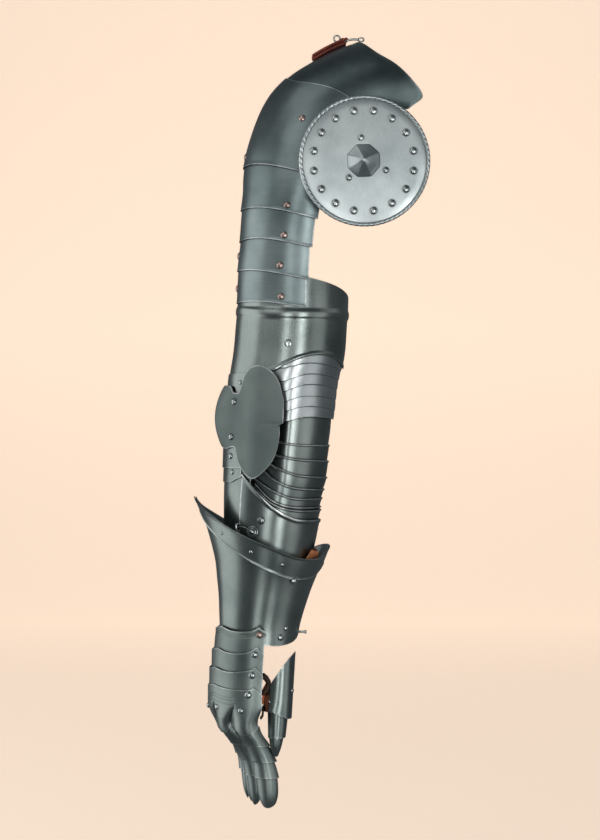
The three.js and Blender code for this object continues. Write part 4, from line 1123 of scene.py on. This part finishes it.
# Rivets: domed heads that stand on the plates, of bright steel, with copper ones down the shoulder.
# One tree of nodes stamps a head on every point of a small mesh, turned to face out of the plate.
def rivet_tree():
    """Geometry nodes for domed heads on points that carry a facing and a size."""
    tree = bpy.data.node_groups.new("rivet_heads", "GeometryNodeTree")
    tree.interface.new_socket("Points", in_out="INPUT", socket_type="NodeSocketGeometry")
    for label, value in (("Head radius", 0.0022), ("Head height share", 0.62)):
        entry = tree.interface.new_socket(label, in_out="INPUT", socket_type="NodeSocketFloat")
        entry.default_value = value
    tree.interface.new_socket("Finish", in_out="INPUT", socket_type="NodeSocketMaterial")
    tree.interface.new_socket("Heads", in_out="OUTPUT", socket_type="NodeSocketGeometry")
    nodes, links = tree.nodes, tree.links
    given, made = nodes.new("NodeGroupInput"), nodes.new("NodeGroupOutput")
    head = nodes.new("GeometryNodeMeshUVSphere")
    head.inputs["Segments"].default_value = 24
    head.inputs["Rings"].default_value = 14
    links.new(given.outputs["Head radius"], head.inputs["Radius"])
    squat = nodes.new("ShaderNodeCombineXYZ")
    squat.inputs["X"].default_value = 1.0
    squat.inputs["Y"].default_value = 1.0
    links.new(given.outputs["Head height share"], squat.inputs["Z"])
    flatten = nodes.new("GeometryNodeTransform")
    links.new(head.outputs["Mesh"], flatten.inputs["Geometry"])
    links.new(squat.outputs["Vector"], flatten.inputs["Scale"])
    way = nodes.new("GeometryNodeInputNamedAttribute")
    way.data_type = "FLOAT_VECTOR"
    way.inputs["Name"].default_value = "facing"
    size = nodes.new("GeometryNodeInputNamedAttribute")
    size.data_type = "FLOAT"
    size.inputs["Name"].default_value = "size"
    turn = nodes.new("FunctionNodeAlignRotationToVector")
    turn.axis = "Z"
    links.new(way.outputs["Attribute"], turn.inputs["Vector"])
    stamp = nodes.new("GeometryNodeInstanceOnPoints")
    links.new(given.outputs["Points"], stamp.inputs["Points"])
    links.new(flatten.outputs["Geometry"], stamp.inputs["Instance"])
    links.new(turn.outputs["Rotation"], stamp.inputs["Rotation"])
    links.new(size.outputs["Attribute"], stamp.inputs["Scale"])
    real = nodes.new("GeometryNodeRealizeInstances")
    links.new(stamp.outputs["Instances"], real.inputs["Geometry"])
    soft = nodes.new("GeometryNodeSetShadeSmooth")
    links.new(real.outputs["Geometry"], soft.inputs["Geometry"])
    paint = nodes.new("GeometryNodeSetMaterial")
    links.new(soft.outputs["Geometry"], paint.inputs["Geometry"])
    links.new(given.outputs["Finish"], paint.inputs["Material"])
    links.new(paint.outputs["Geometry"], made.inputs["Heads"])
    return tree


RIVET_HEADS = rivet_tree()
RIVET_STEEL = steel("rivet_steel", (0.42, 0.46, 0.45), (0.62, 0.66, 0.65), 0.24, (0.8, 0.8, 0.8))
COPPER = steel("rivet_copper", (0.40, 0.30, 0.27), (0.62, 0.46, 0.40), 0.28, (0.8, 0.6, 0.5))


def rivets(name, spots, body, material, radius=2.2, height=0.62):
    """One mesh of rivet heads; each spot is a point in mm, the way it faces and its size."""
    mesh = bpy.data.meshes.new(name + "_spots")
    mesh.from_pydata([tuple(np.asarray(spot) / 1000) for spot, way, size in spots], [], [])
    mesh.attributes.new("facing", "FLOAT_VECTOR", "POINT").data.foreach_set(
        "vector", np.array([way for spot, way, size in spots], np.float32).ravel())
    mesh.attributes.new("size", "FLOAT", "POINT").data.foreach_set(
        "value", np.array([size for spot, way, size in spots], np.float32))
    holder = bpy.data.objects.new(name + "_spots", mesh)
    bpy.context.scene.collection.objects.link(holder)
    stamp = holder.modifiers.new("heads", "NODES")
    stamp.node_group = RIVET_HEADS
    inputs = {s.name: s.identifier for s in RIVET_HEADS.interface.items_tree if s.in_out == "INPUT"}
    stamp[inputs["Head radius"]] = radius / 1000
    stamp[inputs["Head height share"]] = height
    stamp[inputs["Finish"]] = material
    made_mesh = bpy.data.meshes.new_from_object(holder.evaluated_get(bpy.context.evaluated_depsgraph_get()))
    bpy.data.objects.remove(holder)
    mark_plain(made_mesh)
    made = bpy.data.objects.new(name, made_mesh)
    bpy.context.scene.collection.objects.link(made)
    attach(made, body)
    return made


def stand_on(surface, down, angle, off, size=1.0, both=False, step=1.0):
    """A rivet spot on a surface, and on the far side too where both are wanted."""
    spots = []
    for side in (1, -1) if both else (1,):
        here = surface(down, side * angle, off)
        lower = surface(down + step, side * angle, off)
        on = surface(down, side * angle + 1.0, off)
        way = np.cross(on - here, lower - here)
        way = way / np.linalg.norm(way)
        if np.dot(way, surface(down, side * angle, off + 1) - here) < 0:
            way = -way
        spots.append((here, way, size))
    return spots


# On the arm: body, distance down in mm, angle, layer, size
ARM_RIVETS = [
    ("upper_lame", 383.3, 40.3, 1, 1.15), ("lower_lame_1", 464.5, 31.8, 2, 1.6),
    ("lower_lame_2", 482.2, 34.8, 1, 1.35),
]
# Down the shoulder: distance down in mm, angle, layer
SHOULDER_RIVETS = [
    (106.4, 70.8, 5), (145.6, 10.5, 5), (190.9, 77.6, 4), (223.1, 77.8, 3), (241.3, 4.0, 2), (255.6, 76.1, 2),
    (277.9, 4.0, 1), (289.7, 78.0, 1),
]
by_body = {}
for body, down, angle, layer, size in ARM_RIVETS:
    by_body.setdefault(body, []).extend(stand_on(arm_point, down, angle, layer * LAYER, size, both=True))
by_body["couter"] = []
by_body["forearm"] = []
for down, angle in ((404.5, 36.4), (443.1, 34.8)):
    share = (down - float(couter_top(angle))) / float(couter_low(angle) - couter_top(angle))
    by_body["couter"] += stand_on(arm_point, down, angle, couter_height(angle, share), 1.7, both=True)
# On the cuff: distance down as a share of CUFF_LENGTH, angle, height off it in mm, size
CUFF_RIVETS = [
    (0.242, 41.9, LAYER, 0.85), (0.359, 72.0, LAYER, 1.0), (0.444, 104.4, LAYER, 1.15),
    (0.555, 123.3, LAYER + 0.7, 1.75), (0.932, 123.5, 0.2, 1.65), (0.873, 131.3, 0.2, 1.3),
]
for down, angle, off, size in CUFF_RIVETS:
    by_body["forearm"] += stand_on(cuff_point, down, angle, off, size, both=True, step=0.01)
# At the sides of the hand: body, distance down in mm, angle, layer
HAND_RIVETS = [("wrist_2", 28.8, 64.6, 2), ("wrist_3", 51.3, 62.5, 3), ("hand", 72.8, 58.4, 4)]
for body, down, angle, layer in HAND_RIVETS:
    by_body[body] = stand_on(hand_point, down, angle, layer * HAND_LAYER, 1.8, both=True)
for body, spots in by_body.items():
    rivets(f"rivets_{body}", spots, body, RIVET_STEEL)
shoulder_spots = []
for down, angle, layer in SHOULDER_RIVETS:
    shoulder_spots += stand_on(arm_point, down, angle, layer * LAYER, 1.75, both=True)
rivets("rivets_shoulder", shoulder_spots, "upper_arm", COPPER, height=0.5)
wrist_spots = stand_on(hand_point, 7.1, 68.1, HAND_LAYER + 0.8, 1.8, both=True)
rivets("rivets_copper_wrist", wrist_spots, "wrist_1", COPPER)
cannon_spots = stand_on(arm_point, 340.6, 88.2, 0.1, 1.9)
rivets("rivet_cannon", cannon_spots, "upper_arm", RIVET_STEEL, height=0.2)
forearm_spots = stand_on(arm_point, 535.0, 78.6, LAYER, 2.0, both=True)
rivets("rivet_forearm", forearm_spots, "forearm", DARK_STEEL, height=0.4)
KNUCKLE_RIVETS = (0.816, 0.558, 0.34, 0.12)
KNUCKLE_RIVETS_DOWN = np.array([[0.47]])
knuckle_spots = []
for across in KNUCKLE_RIVETS:
    here = knuckle_point(np.array([[across]]), KNUCKLE_RIVETS_DOWN, 0)[0, 0]
    under = knuckle_point(np.array([[across]]), KNUCKLE_RIVETS_DOWN, 1)[0, 0]
    knuckle_spots.append((here, (here - under) / np.linalg.norm(here - under), 1.45))
rivets("rivets_knuckles", knuckle_spots, "hand", RIVET_STEEL)

# Rivets of the rondel: sixteen in a ring near the rim and three round the boss.
# They are of the same bright steel, and larger than those on the arm.
RING_RADIUS = 54.8
BOSS_RING_RADIUS = 25
rondel_face = RONDEL_PLACE[1] - 1.25
rondel_spots = []
for spin in np.radians(11.25 + 22.5 * np.arange(16)):
    x, z = boss_x + RING_RADIUS * math.cos(spin), boss_z + RING_RADIUS * math.sin(spin)
    rondel_spots.append(((x, rondel_face, z), (0, -1, 0), 2.05))
for spin in np.radians((99, -24, 227)):
    x = RONDEL_PLACE[0] + BOSS_RING_RADIUS * math.cos(spin)
    z = RONDEL_PLACE[2] + BOSS_RING_RADIUS * math.sin(spin)
    rondel_spots.append(((x, rondel_face - 1.5, z), (0, -1, 0), 1.7))
rivets("rivets_rondel", rondel_spots, "upper_arm", RIVET_STEEL)


# Clasp of the lower cannon: a steel hook that turns on a stud with a washer under it.
# It drops over a silvered staple on the outer half and so keeps the two halves closed.
def arm_spot(down, angle, off):
    """A place on the arm and the way out of it."""
    here = arm_point(down, angle, off)
    out = arm_point(down, angle, off + 1) - here
    return here, out / np.linalg.norm(out)


def round_plate(name, place, out, radius, thick, material, body, turns=32):
    """A low round plate with a bevelled edge, standing on a place and facing out."""
    out = np.asarray(out, float)
    side = np.cross(out, (0.0, 0.0, 1.0))
    side = side / np.linalg.norm(side)
    up = np.cross(side, out)
    points, faces = [], []
    place = np.asarray(place)
    for reach, height in ((radius, -0.4), (radius, thick - 0.3), (radius - 0.4, thick)):
        for spin in np.arange(turns) * 2 * np.pi / turns:
            points.append(place + out * height + reach * (side * math.cos(spin) + up * math.sin(spin)))
    for ring in (0, turns):
        for i in range(turns):
            j = (i + 1) % turns
            faces.append((ring + i, ring + turns + i, ring + turns + j, ring + j))
    points += [place - out * 0.4, place + out * thick]
    for i in range(turns):
        j = (i + 1) % turns
        faces += [(3 * turns, i, j), (3 * turns + 1, 2 * turns + j, 2 * turns + i)]
    # Marks of zero on the rim make the steel paint a worn edge with a highlight there.
    marks = np.concatenate([np.zeros(3 * turns), [radius, radius]])
    return piece(name, points, faces, material, body, marks=marks, sharp=30)


STUD_DOWN = 547.5
STUD_ANGLE = 69.0
STAPLE_ANGLE = 49.0
# Staple: distance down, height off the plate
STAPLE = [(539.0, -0.6), (539.4, 2.6), (541.0, 3.6), (545.0, 3.6), (546.6, 2.6), (547.0, -0.6)]
stud_place, stud_out = arm_spot(STUD_DOWN, STUD_ANGLE, LAYER)
washer_top = stud_place + stud_out * 1.0
round_plate("clasp_washer", stud_place, stud_out, 6.4, 0.9, DARK_STEEL, "forearm")
round_plate("clasp_washer_top", washer_top, stud_out, 4.6, 0.9, DARK_STEEL, "forearm")
rivets("clasp_stud", [(stud_place + stud_out * 1.9, stud_out, 1.3)], "forearm", RIVET_STEEL)
hook_path = []
for t in np.linspace(0, 1, 9):
    hook_down = STUD_DOWN - 4.6 * t - 2.5 * math.sin(math.pi * t)
    hook_path.append(arm_spot(hook_down, STUD_ANGLE - 19 * t, LAYER + 2.4 - 0.6 * t)[0])
wire("clasp_hook", hook_path, 0.9, False, DARK_STEEL, "forearm")
staple_path = [arm_spot(down, STAPLE_ANGLE, LAYER + lift)[0] for down, lift in STAPLE]
wire("clasp_staple", staple_path, 1.1, False, SILVER_STEEL, "forearm")

# Hinge pin: a short silvered pin that sticks out at the back edge of the cuff, near its lower end.
# Its end is cut square.
pin_from = cuff_point(0.912, 179.0, -1.0)
pin_path = [pin_from, pin_from + (6.0, -1.0, 0.0), pin_from + (9.0, -1.5, 0.0)]
pin_end = [pin_from + (8.0, -1.4, 0.0), pin_from + (9.6, -1.6, 0.0)]
wire("cuff_pin", pin_path, 1.3, False, SILVER_STEEL, "forearm")
wire("cuff_pin_head", pin_end, 2.1, False, SILVER_STEEL, "forearm")

# Thumb rivets: two domed heads of bright steel on the base plate of the thumb.
# They go through the plate into the leather of the glove. Height below THUMB_TOP, angle, size
THUMB_RIVETS = [(-57.5, -69.6, 1.15), (-45.7, 41.6, 1.3)]
thumb_spots = []
for fall, angle, size in THUMB_RIVETS:
    here = thumb_point(THUMB_TOP + fall, angle, 15.8, 1.0)
    out = thumb_point(THUMB_TOP + fall, angle, 16.8, 1.0) - here
    thumb_spots.append((here, out, size))
rivets("rivets_thumb", thumb_spots, "hand", RIVET_STEEL)
